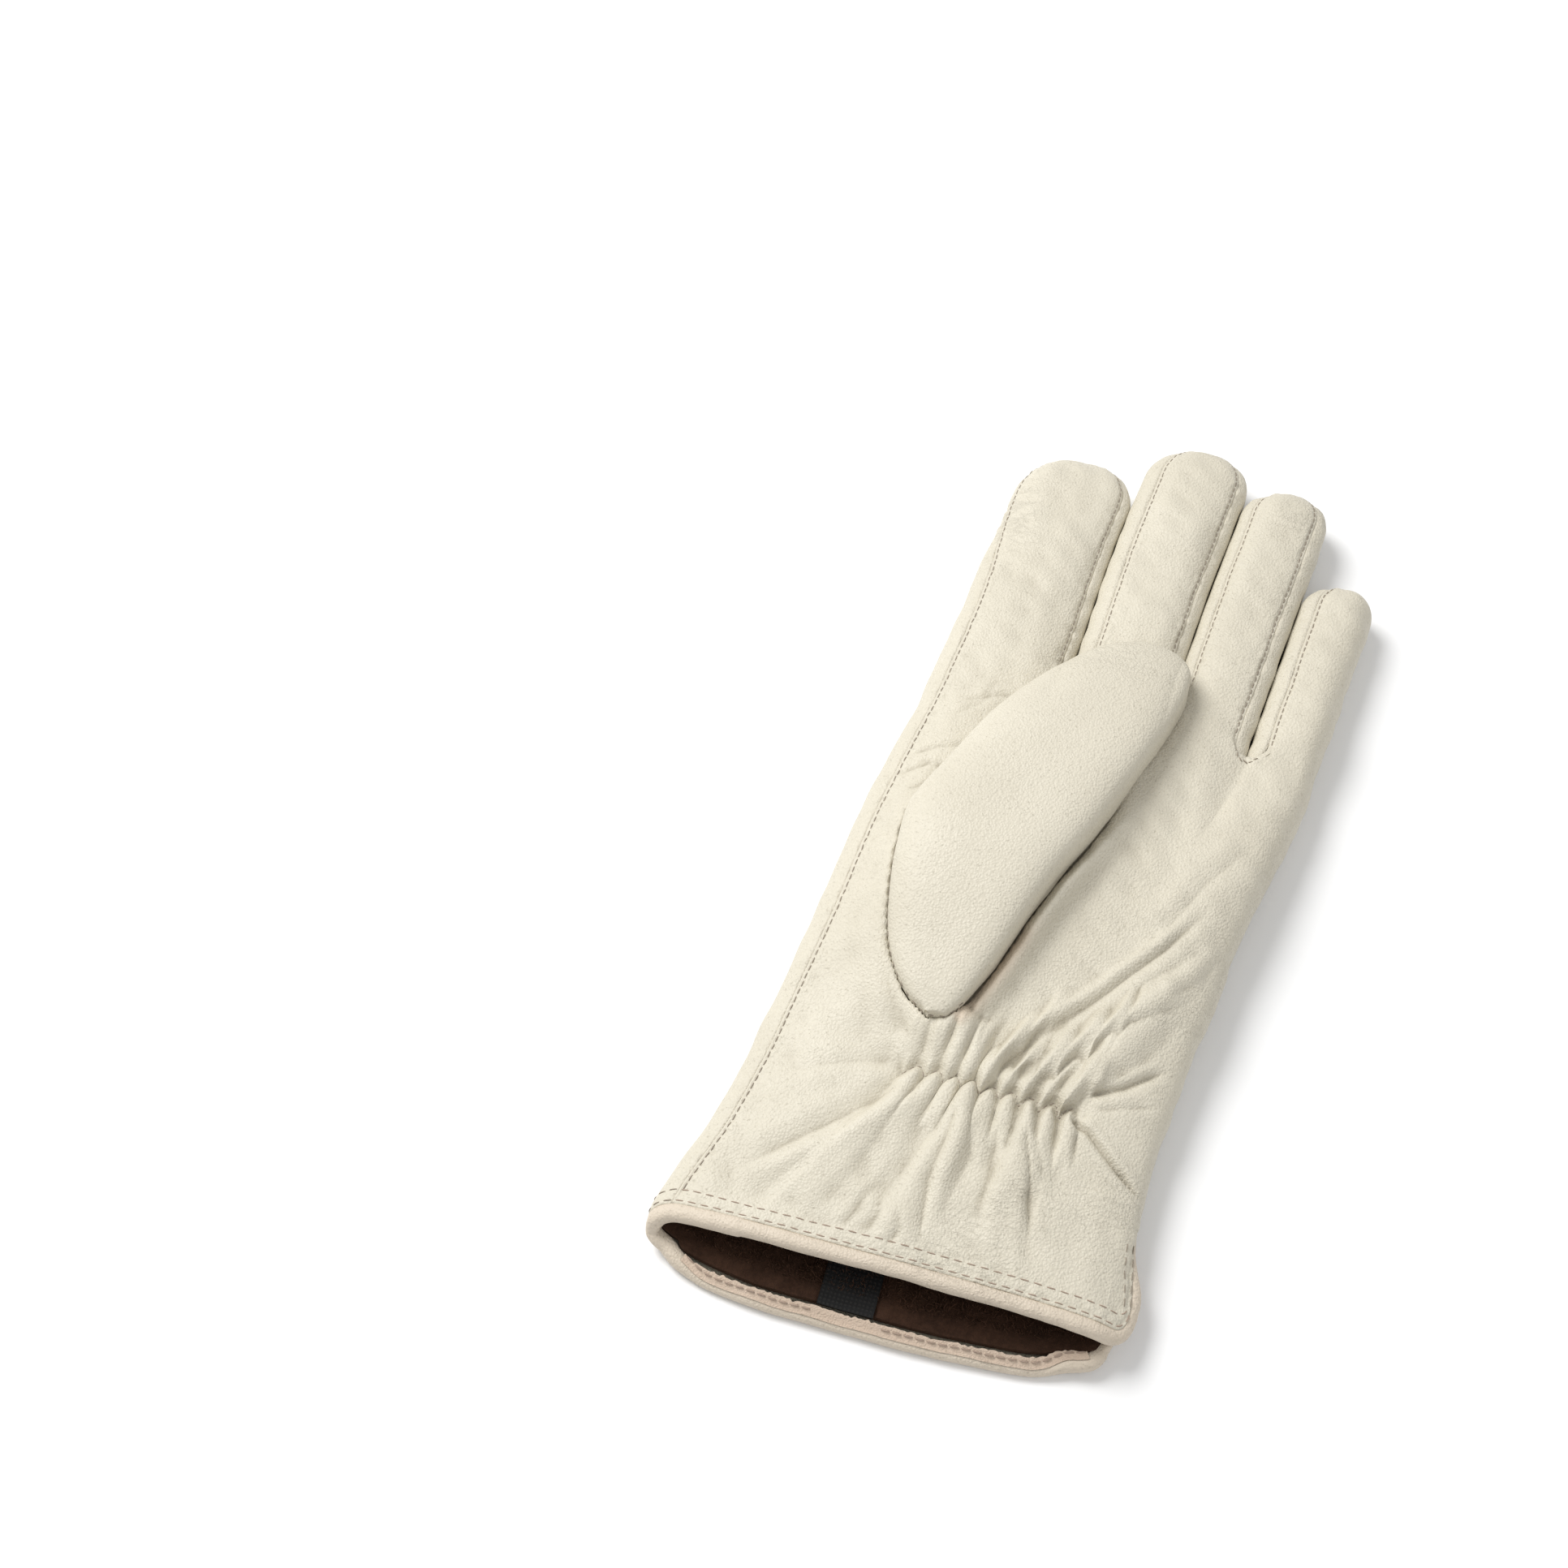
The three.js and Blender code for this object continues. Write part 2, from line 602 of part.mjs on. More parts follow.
// One row of the whole back below the knuckles, from the palm's seam beside the forefinger to the vent
function backRow(row) {
  const points = [];
  const indexBase = fingerBase(0, 0);
  for (let k = 0; k < backWrap; k += 1) {
    const hem = mix(palmHem, backHem(wrapHemShare), k / backWrap);
    points.push(edgePoint(-1, rowY(row, hem, indexBase), indexBase, indexEdge, indexUnder, k / backWrap));
  }
  backColumns.forEach((columns, f) => {
    columns.forEach((column, k) => {
      const share = backShare(f, column, k, 0);
      const base = fingerBase(f, share);
      const across = mix(backBounds[f].cuff, backBounds[f + 1].cuff, share);
      points.push(backPoint(f, column, rowY(row, backHem(across), base), base));
    });
  });
  const littleBase = fingerBase(3, 1);
  for (let k = 1; k <= backEdge; k += 1) {
    const hem = backHem(1) + cornerRise(backFlapReach * (1 - k / backEdge) * 2);
    const y = rowY(row, hem, littleBase);
    const reach = (k / backEdge) * (1 - ventSlit(row, littleSeamInset * 2));
    const wrapped = edgePoint(1, y, littleBase, littleUnder, littleSeam(row), reach);
    const flat = edgePoint(1, y, littleBase, littleUnder, littleUnder, 0);
    flat.x += backFlapReach * reach;
    points.push(wrapped.lerp(flat, ventOpen(row)));
  }
  return points;
}

// One row across the back of finger f above its base; step fingerSteps is the line at the tip
function backFingerRow(f, step) {
  const points = [];
  const wraps = f === 0 ? backWrap : 0;
  const edges = f === 3 ? backEdge : 0;
  const columns = f === 3 ? backColumns[f] : [...backColumns[f], { share: 1 }];
  const cells = wraps + columns.length - 1 + edges;
  if (step === fingerSteps) {
    for (let k = 0; k <= cells; k += 1) points.push(tipPoint(f, k / cells));
    return points;
  }
  for (let k = 0; k < wraps; k += 1) {
    points.push(edgePoint(-1, fingerY(0, 0, step), fingerBase(0, 0), indexEdge, indexUnder, k / wraps));
  }
  const round = fingerY(f, 0.5, step) > braidEnd(f);
  const spread = smooth((fingerShares[step] ?? 1) / fingerShares[2]);
  columns.forEach((column, k) => {
    const even = { share: column.trim ? k / (columns.length - 1) : backShare(f, column, k, spread) };
    const used = column.trim && !round ? column : even;
    const share = backShare(f, used, k, spread);
    points.push(backPoint(f, used, fingerY(f, share, step), fingerBase(f, share)));
  });
  const seam = littleSeam({ zone: 2, share: 1 });
  for (let k = 1; k <= edges; k += 1) {
    points.push(edgePoint(1, fingerY(3, 1, step), fingerBase(3, 1), littleUnder, seam, k / edges));
  }
  return points;
}

// One row across the palm face of finger f above its base
function palmFingerRow(f, step) {
  const wraps = f === 3 ? wrapCells : 0;
  const cells = columnsPerFinger + wraps;
  const points = [];
  for (let k = 0; k <= cells; k += 1) {
    if (step === fingerSteps) points.push(tipPoint(f, k / cells));
    else if (k <= columnsPerFinger) points.push(palmFingerPoint(f, k / columnsPerFinger, step));
    else {
      const seam = littleSeam({ zone: 2, share: 1 });
      const share = (k - columnsPerFinger) / wraps;
      points.push(edgePoint(1, fingerY(3, 1, step), fingerBase(3, 1), littleEdge, seam, share));
    }
  }
  return points;
}

// The strip between two fingers, from one fingertip down to the crotch and up to the next fingertip
function fourchetteRows(gap) {
  const cells = 3;
  const stations = [];
  const leg = (f, side, step) => {
    const y = fingerY(f, side < 0 ? 0 : 1, step);
    const ring = fingerRing(f, y);
    const open = notchOpen(y - crotchY(gap));
    const insets = { top: seamInsets(f, 1), back: seamInsets(f, -1) };
    const from = insetAngle(ring, side < 0 ? insets.top.left : insets.top.right);
    const to = -insetAngle(ring, side < 0 ? insets.back.left : insets.back.right);
    const points = [fingerSeamPoint(f, step, 1, side)];
    for (let k = 1; k < cells; k += 1) {
      const spot = ringSide(ring, side, mix(from, to, k / cells));
      points.push(new THREE.Vector3(mix(crotchX(gap), spot.x, open), y, spot.z));
    }
    points.push(backFingerRow(f, step).at(side < 0 ? 0 : -1));
    return points;
  };
  for (let step = fingerSteps - 1; step >= 0; step -= 1) stations.push(leg(gap, 1, step));
  const web = [];
  const top = palmPoint((gap + 1) * columnsPerFinger, handRows.at(-1));
  const bottom = backRow(handRows.at(-1))[backWrap + backStart(gap + 1)];
  for (let k = 0; k <= cells; k += 1) web.push(top.clone().lerp(bottom, k / cells));
  stations.push(web);
  for (let step = 0; step < fingerSteps; step += 1) stations.push(leg(gap + 1, -1, step));
  return stations;
}
const backStart = (f) => backColumns.slice(0, f).reduce((sum, columns) => sum + columns.length, 0);

// A skin is a list of triangles of shared corner points, faces outwards

const pointKey = (p) => `${p.x.toFixed(3)},${p.y.toFixed(3)},${p.z.toFixed(3)}`;

class Skin {
  constructor() {
    this.points = [];
    this.faces = [];
    this.index = new Map();
  }

  corner(point) {
    const key = pointKey(point);
    if (!this.index.has(key)) {
      this.index.set(key, this.points.length);
      this.points.push(point.clone());
    }
    return this.index.get(key);
  }

  // Rows of points, each row running clockwise round the outward direction from the row before it
  addRows(rows, flipped = false) {
    for (let i = 0; i + 1 < rows.length; i += 1) {
      for (let j = 0; j + 1 < rows[i].length; j += 1) {
        const [a, b] = [this.corner(rows[i][j]), this.corner(rows[i][j + 1])];
        const [c, d] = [this.corner(rows[i + 1][j + 1]), this.corner(rows[i + 1][j])];
        const pair = (i + j) % 2 ? [[a, b, c], [a, c, d]] : [[a, b, d], [b, c, d]];
        pair.forEach(([p, q, r]) => {
          if (p !== q && q !== r && r !== p) this.faces.push(flipped ? [p, r, q] : [p, q, r]);
        });
      }
    }
    return this;
  }

  // Sums of face normals at each corner, kept under the corner's place
  addNormals(normals) {
    this.faces.forEach(([a, b, c]) => {
      const [p, q, r] = [this.points[a], this.points[b], this.points[c]];
      const normal = q.clone().sub(p).cross(r.clone().sub(p)).normalize();
      [p, q, r].forEach((point, k) => {
        const [next, other] = [[q, r], [r, p], [p, q]][k];
        const angle = next.clone().sub(point).angleTo(other.clone().sub(point));
        const key = pointKey(point);
        if (!normals.has(key)) normals.set(key, new THREE.Vector3());
        normals.get(key).addScaledVector(normal, angle);
      });
    });
    return this;
  }

  borderEdges() {
    const edges = new Map();
    this.faces.forEach((face) => {
      face.forEach((a, k) => edges.set(`${a} ${face[(k + 1) % 3]}`, [a, face[(k + 1) % 3]]));
    });
    return [...edges.values()].filter(([a, b]) => !edges.has(`${b} ${a}`));
  }

  // Direction from each border corner into the skin; on the upright lines at the fingertips it is up or down
  inward(normals) {
    const along = new Map();
    this.borderEdges().forEach(([a, b]) => {
      const step = this.points[b].clone().sub(this.points[a]).normalize();
      [a, b].forEach((k) => along.set(k, (along.get(k) ?? new THREE.Vector3()).add(step)));
    });
    const result = new Map();
    along.forEach((step, k) => {
      const inward = normals[k].clone().cross(step).normalize();
      if (normals[k].z === 0) inward.set(0, 0, tipRoom * Math.sign(inward.z));
      result.set(k, inward);
    });
    return result;
  }

  // A wall of one thickness under the skin, its borders drawn in a little and its top set below the skin
  wall(shared, thickness, below = 0, drawIn = clearance / 2) {
    const normals = this.points.map((point) => shared.get(pointKey(point)).clone().normalize());
    const inward = this.inward(normals);
    const outer = this.points.map((point, k) => {
      const moved = point.clone().addScaledVector(normals[k], -below);
      return inward.has(k) ? moved.addScaledVector(inward.get(k), drawIn) : moved;
    });
    const inner = outer.map((point, k) => point.clone().addScaledVector(normals[k], -thickness));
    const count = this.points.length;
    const faces = [...this.faces, ...this.faces.map(([a, b, c]) => [a + count, c + count, b + count])];
    this.borderEdges().forEach(([a, b]) => faces.push([b, a, a + count], [b, a + count, b + count]));
    return solidGeometry([...outer, ...inner], faces);
  }
}

function solidGeometry(points, faces) {
  const geometry = new THREE.BufferGeometry();
  const places = points.flatMap((point) => [point.x, point.y, point.z]);
  geometry.setAttribute("position", new THREE.Float32BufferAttribute(places, 3));
  geometry.setIndex(faces.flat());
  return geometry;
}

// Closed tube through sections that each have the same number of points, capped or joined end to end
function sweptGeometry(sections, joined) {
  const size = sections[0].length;
  const faces = [];
  const last = joined ? sections.length : sections.length - 1;
  for (let i = 0; i < last; i += 1) {
    for (let j = 0; j < size; j += 1) {
      const a = i * size + j;
      const b = i * size + ((j + 1) % size);
      const c = ((i + 1) % sections.length) * size + j;
      const d = ((i + 1) % sections.length) * size + ((j + 1) % size);
      faces.push([a, b, d], [a, d, c]);
    }
  }
  if (!joined) {
    const end = (sections.length - 1) * size;
    for (let j = 1; j + 1 < size; j += 1) faces.push([0, j + 1, j], [end, end + j, end + j + 1]);
  }
  return solidGeometry(sections.flat(), faces);
}

// Joining and cutting of closed meshes
const wasm = await Module();
wasm.setup();

function toSolid(geometry) {
  const plain = mergeVertices(geometry);
  return new wasm.Manifold(new wasm.Mesh({
    numProp: 3,
    vertProperties: new Float32Array(plain.attributes.position.array),
    triVerts: new Uint32Array(plain.index.array),
  }));
}

function toGeometry(solid) {
  const mesh = solid.getMesh();
  const geometry = new THREE.BufferGeometry();
  geometry.setAttribute("position", new THREE.BufferAttribute(new Float32Array(mesh.vertProperties), 3));
  geometry.setIndex(new THREE.BufferAttribute(new Uint32Array(mesh.triVerts), 1));
  return geometry;
}

// Skins of the panels
const palmColumns = Array.from({ length: lastColumn + wrapCells + 1 }, (_, column) => column);
const palmRows = handRows.map((row) => palmColumns.map((column) => palmPoint(column, row)));
const palmSkin = new Skin().addRows(palmRows);
const backRows = handRows.map((row) => backRow(row));
const backSkin = new Skin().addRows(backRows, true);

fingers.forEach((finger, f) => {
  const steps = Array.from({ length: fingerSteps + 1 }, (_, step) => step);
  const first = f * columnsPerFinger;
  const lastOfPalm = f === 3 ? first + columnsPerFinger + wrapCells : first + columnsPerFinger;
  const palmBase = palmRows.at(-1).slice(first, lastOfPalm + 1);
  palmSkin.addRows([palmBase, ...steps.map((step) => palmFingerRow(f, step))]);
  const start = f === 0 ? 0 : backWrap + backStart(f);
  const cells = backFingerRow(f, 0).length - 1;
  const backBase = backRows.at(-1).slice(start, start + cells + 1);
  backSkin.addRows([backBase, ...steps.map((step) => backFingerRow(f, step))], true);
});
const fourchetteSkins = [0, 1, 2].map((gap) => new Skin().addRows(fourchetteRows(gap), true));

const skinNormals = new Map();
[palmSkin, backSkin, ...fourchetteSkins].forEach((skin) => skin.addNormals(skinNormals));

// Along the line at a fingertip both faces stand upright
fingers.forEach((finger, f) => {
  const line = [...palmFingerRow(f, fingerSteps), ...backFingerRow(f, fingerSteps)];
  line.forEach((point) => skinNormals.get(pointKey(point)).setZ(0));
});

// Thumb: a leaf-shaped pouch that lies on the palm, open underneath over the thumb hole

const thumbAngle = THREE.MathUtils.degToRad(thumbTurn);
const thumbAxis = new THREE.Vector2(Math.sin(thumbAngle), Math.cos(thumbAngle));

function palmSurfaceZ(x, y) {
  const rings = fingers.map((finger, f) => fingerRing(f, y));
  const nearest = rings.findIndex((ring) => x < ring.centre + ring.half + fingerGap);
  const f = nearest < 0 ? 3 : nearest;
  return mix(ringTop(handRing(y), x), ringTop(rings[f], x), fingerBlend(y, fingerBase(f, 0.5)));
}

function thumbPlace(along, across) {
  const reach = along * thumbLength;
  const side = across * thumbWidth;
  return {
    x: thumbBaseAcross + reach * thumbAxis.x - side * thumbAxis.y,
    y: thumbBaseAlong + reach * thumbAxis.y + side * thumbAxis.x,
  };
}

// Height of the palm under the thumb, over folds and over the valleys between fingers
function thumbSeat(x, y) {
  const heights = [-seatSpread, 0, seatSpread].map((shift) => palmSurfaceZ(x + shift, y));
  const folds = foldHeight * foldAllowance * (1 - smooth((y - gatherAlong - foldHold) / foldRunOut));
  return Math.max(...heights) + clearance + folds;
}

// The pouch, or its hollow at an inset
function thumbGeometry(inset) {
  const around = 16;
  const steps = 15;
  const from = inset / thumbLength * 2;
  const sections = [];
  for (let i = 0; i <= steps; i += 1) {
    const along = mix(from, 1 - from * 0.6, 0.5 - 0.5 * Math.cos((Math.PI * i) / steps));
    const left = tableAt(thumbTable, "left", along) - inset / thumbWidth;
    const right = tableAt(thumbTable, "right", along) - inset / thumbWidth;
    const middle = (left - right) / 2;
    const half = Math.max(0.02, (left + right) / 2);
    const centre = thumbPlace(along, middle);
    const full = thumbThickness * tableAt(thumbTable, "full", along);
    const thick = Math.max(thinnestThumb, full - 2 * inset);
    const section = [];
    for (let k = 0; k < around; k += 1) {
      const angle = (2 * Math.PI * k) / around;
      const out = Math.sign(Math.cos(angle)) * Math.abs(Math.cos(angle)) ** thumbSquareness;
      const up = Math.sign(Math.sin(angle)) * Math.abs(Math.sin(angle)) ** thumbSquareness;
      const spot = thumbPlace(along, middle + half * out);
      const seat = thumbSeat(spot.x, spot.y) + inset;
      const low = thumbUnderShare * thick;
      const crown = mix(seat, thumbSeat(centre.x, centre.y) + inset, thumbCrownShare);
      const z = up < 0 ? seat + low + low * up : crown + low + (thick - low) * up;
      section.push(new THREE.Vector3(spot.x, spot.y, Math.max(z, seat)));
    }
    sections.push(section);
  }
  return sweptGeometry(sections, false);
}

// Upright prism of the oval thumb hole
function thumbHoleGeometry(bottom, top) {
  const outline = new THREE.Shape();
  const middle = thumbPlace(thumbHoleAlong / thumbLength, thumbHoleAcross / thumbWidth);
  const turn = (Math.PI - thumbAngle) / 2;
  const reach = [thumbHoleLength / 2, thumbHoleWidth / 2];
  outline.absellipse(middle.x, middle.y, ...reach, 0, 2 * Math.PI, false, turn);
  const upright = { depth: top - bottom, bevelEnabled: false, curveSegments: 12 };
  const geometry = new THREE.ExtrudeGeometry(outline, upright);
  geometry.deleteAttribute("normal");
  geometry.deleteAttribute("uv");
  return geometry.translate(0, 0, bottom);
}

const palmSolid = toSolid(palmSkin.wall(skinNormals, leather))
  .subtract(toSolid(thumbHoleGeometry(palmHeight * 0.5, palmHeight * 2)));
const thumbSolid = toSolid(thumbGeometry(0))
  .subtract(toSolid(thumbGeometry(leather)))
  .subtract(toSolid(thumbHoleGeometry(palmHeight * 0.5, palmHeight + thumbThickness * 0.35)));

// Binding: one rolled strip round the palm hem, up and down the vent, round the back hem

function bindingLoop() {
  const palmFlap = palmRows.slice(1, ventRow).map((row) => row.at(-1));
  const backFlap = backRows.slice(1, ventRow).map((row) => row.at(-1)).reverse();
  const backEdgePoints = [...backRows[0]].reverse().slice(0, -1);
  return [...palmRows[0], ...palmFlap, palmRows[ventRow].at(-1), ...backFlap, ...backEdgePoints];
}

function bindingGeometry() {
  const loop = bindingLoop();
  const thick = leather + liningGap + liningThickness;
  const ventTop = palmRows[ventRow].at(-1);
  const corners = 8;
  const sections = loop.map((point, i) => {
    const ahead = loop[(i + 1) % loop.length];
    const behind = loop[(i + loop.length - 1) % loop.length];
    const way = ahead.clone().sub(behind).normalize();
    const normal = skinNormals.get(pointKey(point)).clone().normalize();
    const out = way.clone().cross(normal).normalize();
    const near = smooth((point.distanceTo(ventTop) - ventNarrowLength) / ventWidenLength);
    const width = mix(ventBindingWidth, bindingWidth, near);
    const middle = point.clone()
      .addScaledVector(out, (clearance + width) / 2)
      .addScaledVector(normal, -thick / 2);
    const section = [];
    for (let k = 0; k < corners; k += 1) {
      const angle = (-2 * Math.PI * (k + 0.5)) / corners;
      const square = (value) => Math.sign(value) * Math.min(1, Math.abs(value) * bindingSquareness);
      section.push(middle.clone()
        .addScaledVector(out, (width / 2) * square(Math.cos(angle)))
        .addScaledVector(normal, (thick / 2) * square(Math.sin(angle))));
    }
    return section;
  });
  return sweptGeometry(sections, true);
}

// Lining: one sheet inside the cuff, from the vent's edge on the palm round to its edge on the back

function liningGeometry() {
  const rows = [...cuffShares.map((share) => ({ zone: 0, share })), { zone: 1, share: 0 }];
  rows.push({ zone: 1, share: (liningDepth - ventLength) / (gatherAlong - ventLength) });
  const palmPart = [36, 34, 32, 29, 26, 23, 20, 17, 14, 11, 8, 5, 2, 0];
  const lines = rows.map((row) => {
    return [...palmPart.map((column) => palmPoint(column, row, false)), ...backRow(row).slice(1)];
  });
  const skin = new Skin().addRows(lines, true);
  const normals = new Map();
  skin.addNormals(normals);
  return skin.wall(normals, liningThickness, leather + liningGap, 3 * clearance);
}

function labelGeometry() {
  const rest = leather + liningGap + liningThickness + clearance;
  const geometry = new THREE.BoxGeometry(labelWidth, labelLength, labelThickness);
  const along = backHem(labelHemShare) + labelLength / 2 + clearance;
  return geometry.translate(labelAcross, along, rest + labelThickness / 2);
}

// Braids: flat interlaced strips that lie in channels of the back

function braidGeometry(f) {
  const start = channelStart(f) + 3 * clearance;
  const end = braidEnd(f) - clearance;
  const count = Math.round((end - start) / braidPitch);
  const sections = [];
  for (let i = 0; i <= count; i += 1) {
    const y = mix(start, end, i / count);
    const x = braidX(f, y);
    const sway = (i % 2 ? 1 : -1) * braidWidth * braidSway;
    const half = braidWidth * braidHalfShare;
    sections.push([
      new THREE.Vector3(x + sway - half, y, 0),
      new THREE.Vector3(x + sway - half, y, braidThickness),
      new THREE.Vector3(x + sway + half, y, braidThickness),
      new THREE.Vector3(x + sway + half, y, 0),
    ]);
  }
  return sweptGeometry(sections, false);
}

const creamLeather = { color: 0xe0d9c6, roughness: 0.55, metalness: 0 };
const hemLeather = { color: 0xd8c7b4, roughness: 0.6, metalness: 0 };
const brownPile = { color: 0x3a2418, roughness: 0.95, metalness: 0 };
const blackWeave = { color: 0x16171a, roughness: 0.8, metalness: 0 };

const glove = new THREE.Group();

function addPiece(name, geometry, finish) {
  const mesh = new THREE.Mesh(geometry, new THREE.MeshStandardMaterial(finish));
  mesh.name = name;
  glove.add(mesh);
}

addPiece("palm_panel", toGeometry(palmSolid), creamLeather);
addPiece("back_panel", backSkin.wall(skinNormals, leather), creamLeather);
["index_middle", "middle_ring", "ring_little"].forEach((name, gap) => {
  addPiece(`fourchette_${name}`, fourchetteSkins[gap].wall(skinNormals, leather), creamLeather);
});
addPiece("thumb", toGeometry(thumbSolid), creamLeather);
addPiece("hem_binding", bindingGeometry(), hemLeather);
addPiece("lining", liningGeometry(), brownPile);
addPiece("label", labelGeometry(), blackWeave);
addPiece("braid_index_side", braidGeometry(0), creamLeather);
addPiece("braid_little_side", braidGeometry(3), creamLeather);

// The origin is the middle of the underside of the whole glove
const box = new THREE.Box3().setFromObject(glove);
const centre = box.getCenter(new THREE.Vector3());
glove.position.set(-centre.x, -centre.y, -box.min.z);

export default glove;
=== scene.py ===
"""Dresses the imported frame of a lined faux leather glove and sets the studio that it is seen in.

The glove lies palm up with its thumb over the palm. Its skin has the same layout as the solid model, only
finer, and every seam, fold, stitch, braid and thread of pile is mesh. Lengths in the layout are millimetres,
and Placing turns them into the metres of the row frame.
"""

from __future__ import annotations

import json
import logging
import math
from dataclasses import dataclass, field
from enum import Enum, IntEnum

import bpy
import numpy as np
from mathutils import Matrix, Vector
from mathutils.kdtree import KDTree

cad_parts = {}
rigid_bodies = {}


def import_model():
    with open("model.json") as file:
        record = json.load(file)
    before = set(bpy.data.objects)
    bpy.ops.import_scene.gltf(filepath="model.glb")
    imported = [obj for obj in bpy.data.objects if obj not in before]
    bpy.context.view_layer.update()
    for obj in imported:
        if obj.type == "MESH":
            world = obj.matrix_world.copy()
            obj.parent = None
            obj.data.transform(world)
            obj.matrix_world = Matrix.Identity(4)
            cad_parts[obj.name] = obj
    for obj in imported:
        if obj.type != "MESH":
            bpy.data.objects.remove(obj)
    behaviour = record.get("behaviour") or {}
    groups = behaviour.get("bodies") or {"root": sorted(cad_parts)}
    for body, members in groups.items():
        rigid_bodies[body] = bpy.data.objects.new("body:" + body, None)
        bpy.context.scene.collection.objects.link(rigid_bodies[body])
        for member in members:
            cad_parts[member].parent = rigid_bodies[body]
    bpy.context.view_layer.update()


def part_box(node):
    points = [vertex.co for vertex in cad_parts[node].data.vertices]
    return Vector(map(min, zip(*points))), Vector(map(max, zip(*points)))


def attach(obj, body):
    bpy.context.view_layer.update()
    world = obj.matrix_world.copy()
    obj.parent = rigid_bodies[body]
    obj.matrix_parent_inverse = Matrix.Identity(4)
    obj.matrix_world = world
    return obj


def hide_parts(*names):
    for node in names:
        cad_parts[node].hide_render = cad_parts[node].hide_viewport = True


Array = np.ndarray
Number = float | Array
Colour = tuple[float, float, float, float]

LOG = logging.getLogger("glove")
METRES_PER_MM = 0.001
TURN = 2 * math.pi


class Side(IntEnum):
    """The side of the hand or of a finger, as the sign of x away from its middle."""

    INDEX = -1
    LITTLE = 1


class Face(IntEnum):
    """The face of the glove, as the sign of the height above its widest line."""

    PALM = 1
    BACK = -1


class Zone(IntEnum):
    """The part of the hand that a row of the skin lies on."""

    VENT = 0
    WRIST = 1
    PALM = 2


class Slot(Enum):
    """The record's material slots."""

    CREAM_LEATHER = "cream_leather"
    HEM_LEATHER = "hem_leather"
    BROWN_PILE = "brown_pile"
    BLACK_WEAVE = "black_weave"


def smooth(value: Number) -> Number:
    """Eases a share from 0 to 1."""
    share = np.clip(value, 0, 1)
    return share * share * (3 - 2 * share)


def mix(start: Number, end: Number, share: Number) -> Number:
    """Goes from start to end by a share."""
    return start + (end - start) * share


def bell(value: Number, width: float) -> Number:
    """A round hump of height 1 about 0."""
    return np.exp(-((value / width) ** 2))


def stack(x: Number, y: Number, z: Number) -> Array:
    """Joins three coordinates that broadcast together into points."""
    return np.stack(np.broadcast_arrays(x, y, z), axis=-1).astype(float)


def unit(vectors: Array) -> Array:
    """Scales vectors to length 1."""
    return vectors / np.maximum(np.linalg.norm(vectors, axis=-1, keepdims=True), 1e-12)


@dataclass(frozen=True)
class Table:
    """Rows of shares with named columns, the first the place, read along a smooth curve through them."""

    names: tuple[str, ...]
    rows: tuple[tuple[float, ...], ...]

    def at(self, name: str, place: Number) -> Array:
        """Reads one column.

        Args:
            name: The column.
            place: Where along the first column to read.

        Returns:
            The value at each place.
        """
        knots = np.array([row[0] for row in self.rows])
        values = np.array([row[self.names.index(name)] for row in self.rows])
        slopes = np.diff(values) / np.diff(knots)
        tangents = np.zeros(len(knots))
        before, after = slopes[:-1], slopes[1:]
        level = before * after <= 0
        tangents[1:-1] = np.where(level, 0, 2 * before * after / np.where(level, 1, before + after))
        spot = np.clip(np.asarray(place, float), knots[0], knots[-1])
        i = np.clip(np.searchsorted(knots, spot, side="left") - 1, 0, len(knots) - 2)
        span = knots[i + 1] - knots[i]
        t = (spot - knots[i]) / span
        start, end = tangents[i] * span, tangents[i + 1] * span
        rise = values[i + 1] - values[i]
        return values[i] + t * start + t**2 * (3 * rise - 2 * start - end) + t**3 * (start + end - 2 * rise)


def table(names: str, *rows: tuple[float, ...]) -> Table:
    """A table with its columns' names in one line."""
    return Table(tuple(names.split()), rows)


@dataclass(frozen=True)
class Finger:
    """One finger of the lying glove: its sizes, the fullness of its section and its palm seams' insets."""

    width: float
    length: float
    height: float
    tip: float
    power: float
    left_inset: float
    right_inset: float


@dataclass(frozen=True)
class Spot:
    """A place on the edge of a ring: above or below its widest line, and how far in from it."""

    face: Face
    inset: Number


@dataclass(frozen=True)
class Ring:
    """A closed section across the hand or a finger at given distances from the cuff."""

    centre: Array
    half: Array
    top: Array
    waist: Array
    under: Array
    scale: Array
    power: float

    def curve(self, x: Number) -> Array:
        """The share of the height that the section has at x."""
        share = np.clip(np.abs((x - self.centre) / np.maximum(self.half, 1e-6)), 0, 1)
        return (1 - share**self.power) ** (1 / self.power)

    def top_at(self, x: Number) -> Array:
        """The height of the palm side at x."""
        return self.waist + (self.top - self.waist) * self.curve(x)

    def bottom_at(self, x: Number) -> Array:
        """The height of the flattened back at x."""
        return np.maximum(0, self.waist - self.under * self.curve(x))

    def angle(self, inset: Number) -> Array:
        """The angle above the widest line at which the section has come in by an inset."""
        share = np.clip((self.half - inset * self.scale) / np.maximum(self.half, 1e-6), 0, 1)
        return np.arccos(share ** (self.power / 2))

    def edge(self, side: Side, angle: Array) -> tuple[Array, Array]:
        """Finds a point of the outer edge.

        Args:
            side: Which edge.
            angle: The angle above the widest line.

        Returns:
            Its x and its height.
        """
        out = np.abs(np.cos(angle)) ** (2 / self.power)
        up = np.abs(np.sin(angle)) ** (2 / self.power)
        above = self.waist + (self.top - self.waist) * up
        below = np.maximum(0, self.waist - self.under * up)
        return self.centre + side * self.half * out, np.where(angle > 0, above, below)


@dataclass(frozen=True)
class Rows:
    """Rows of the skin of the hand: the zone of each and its share of the way through that zone."""

    zone: Array
    share: Array


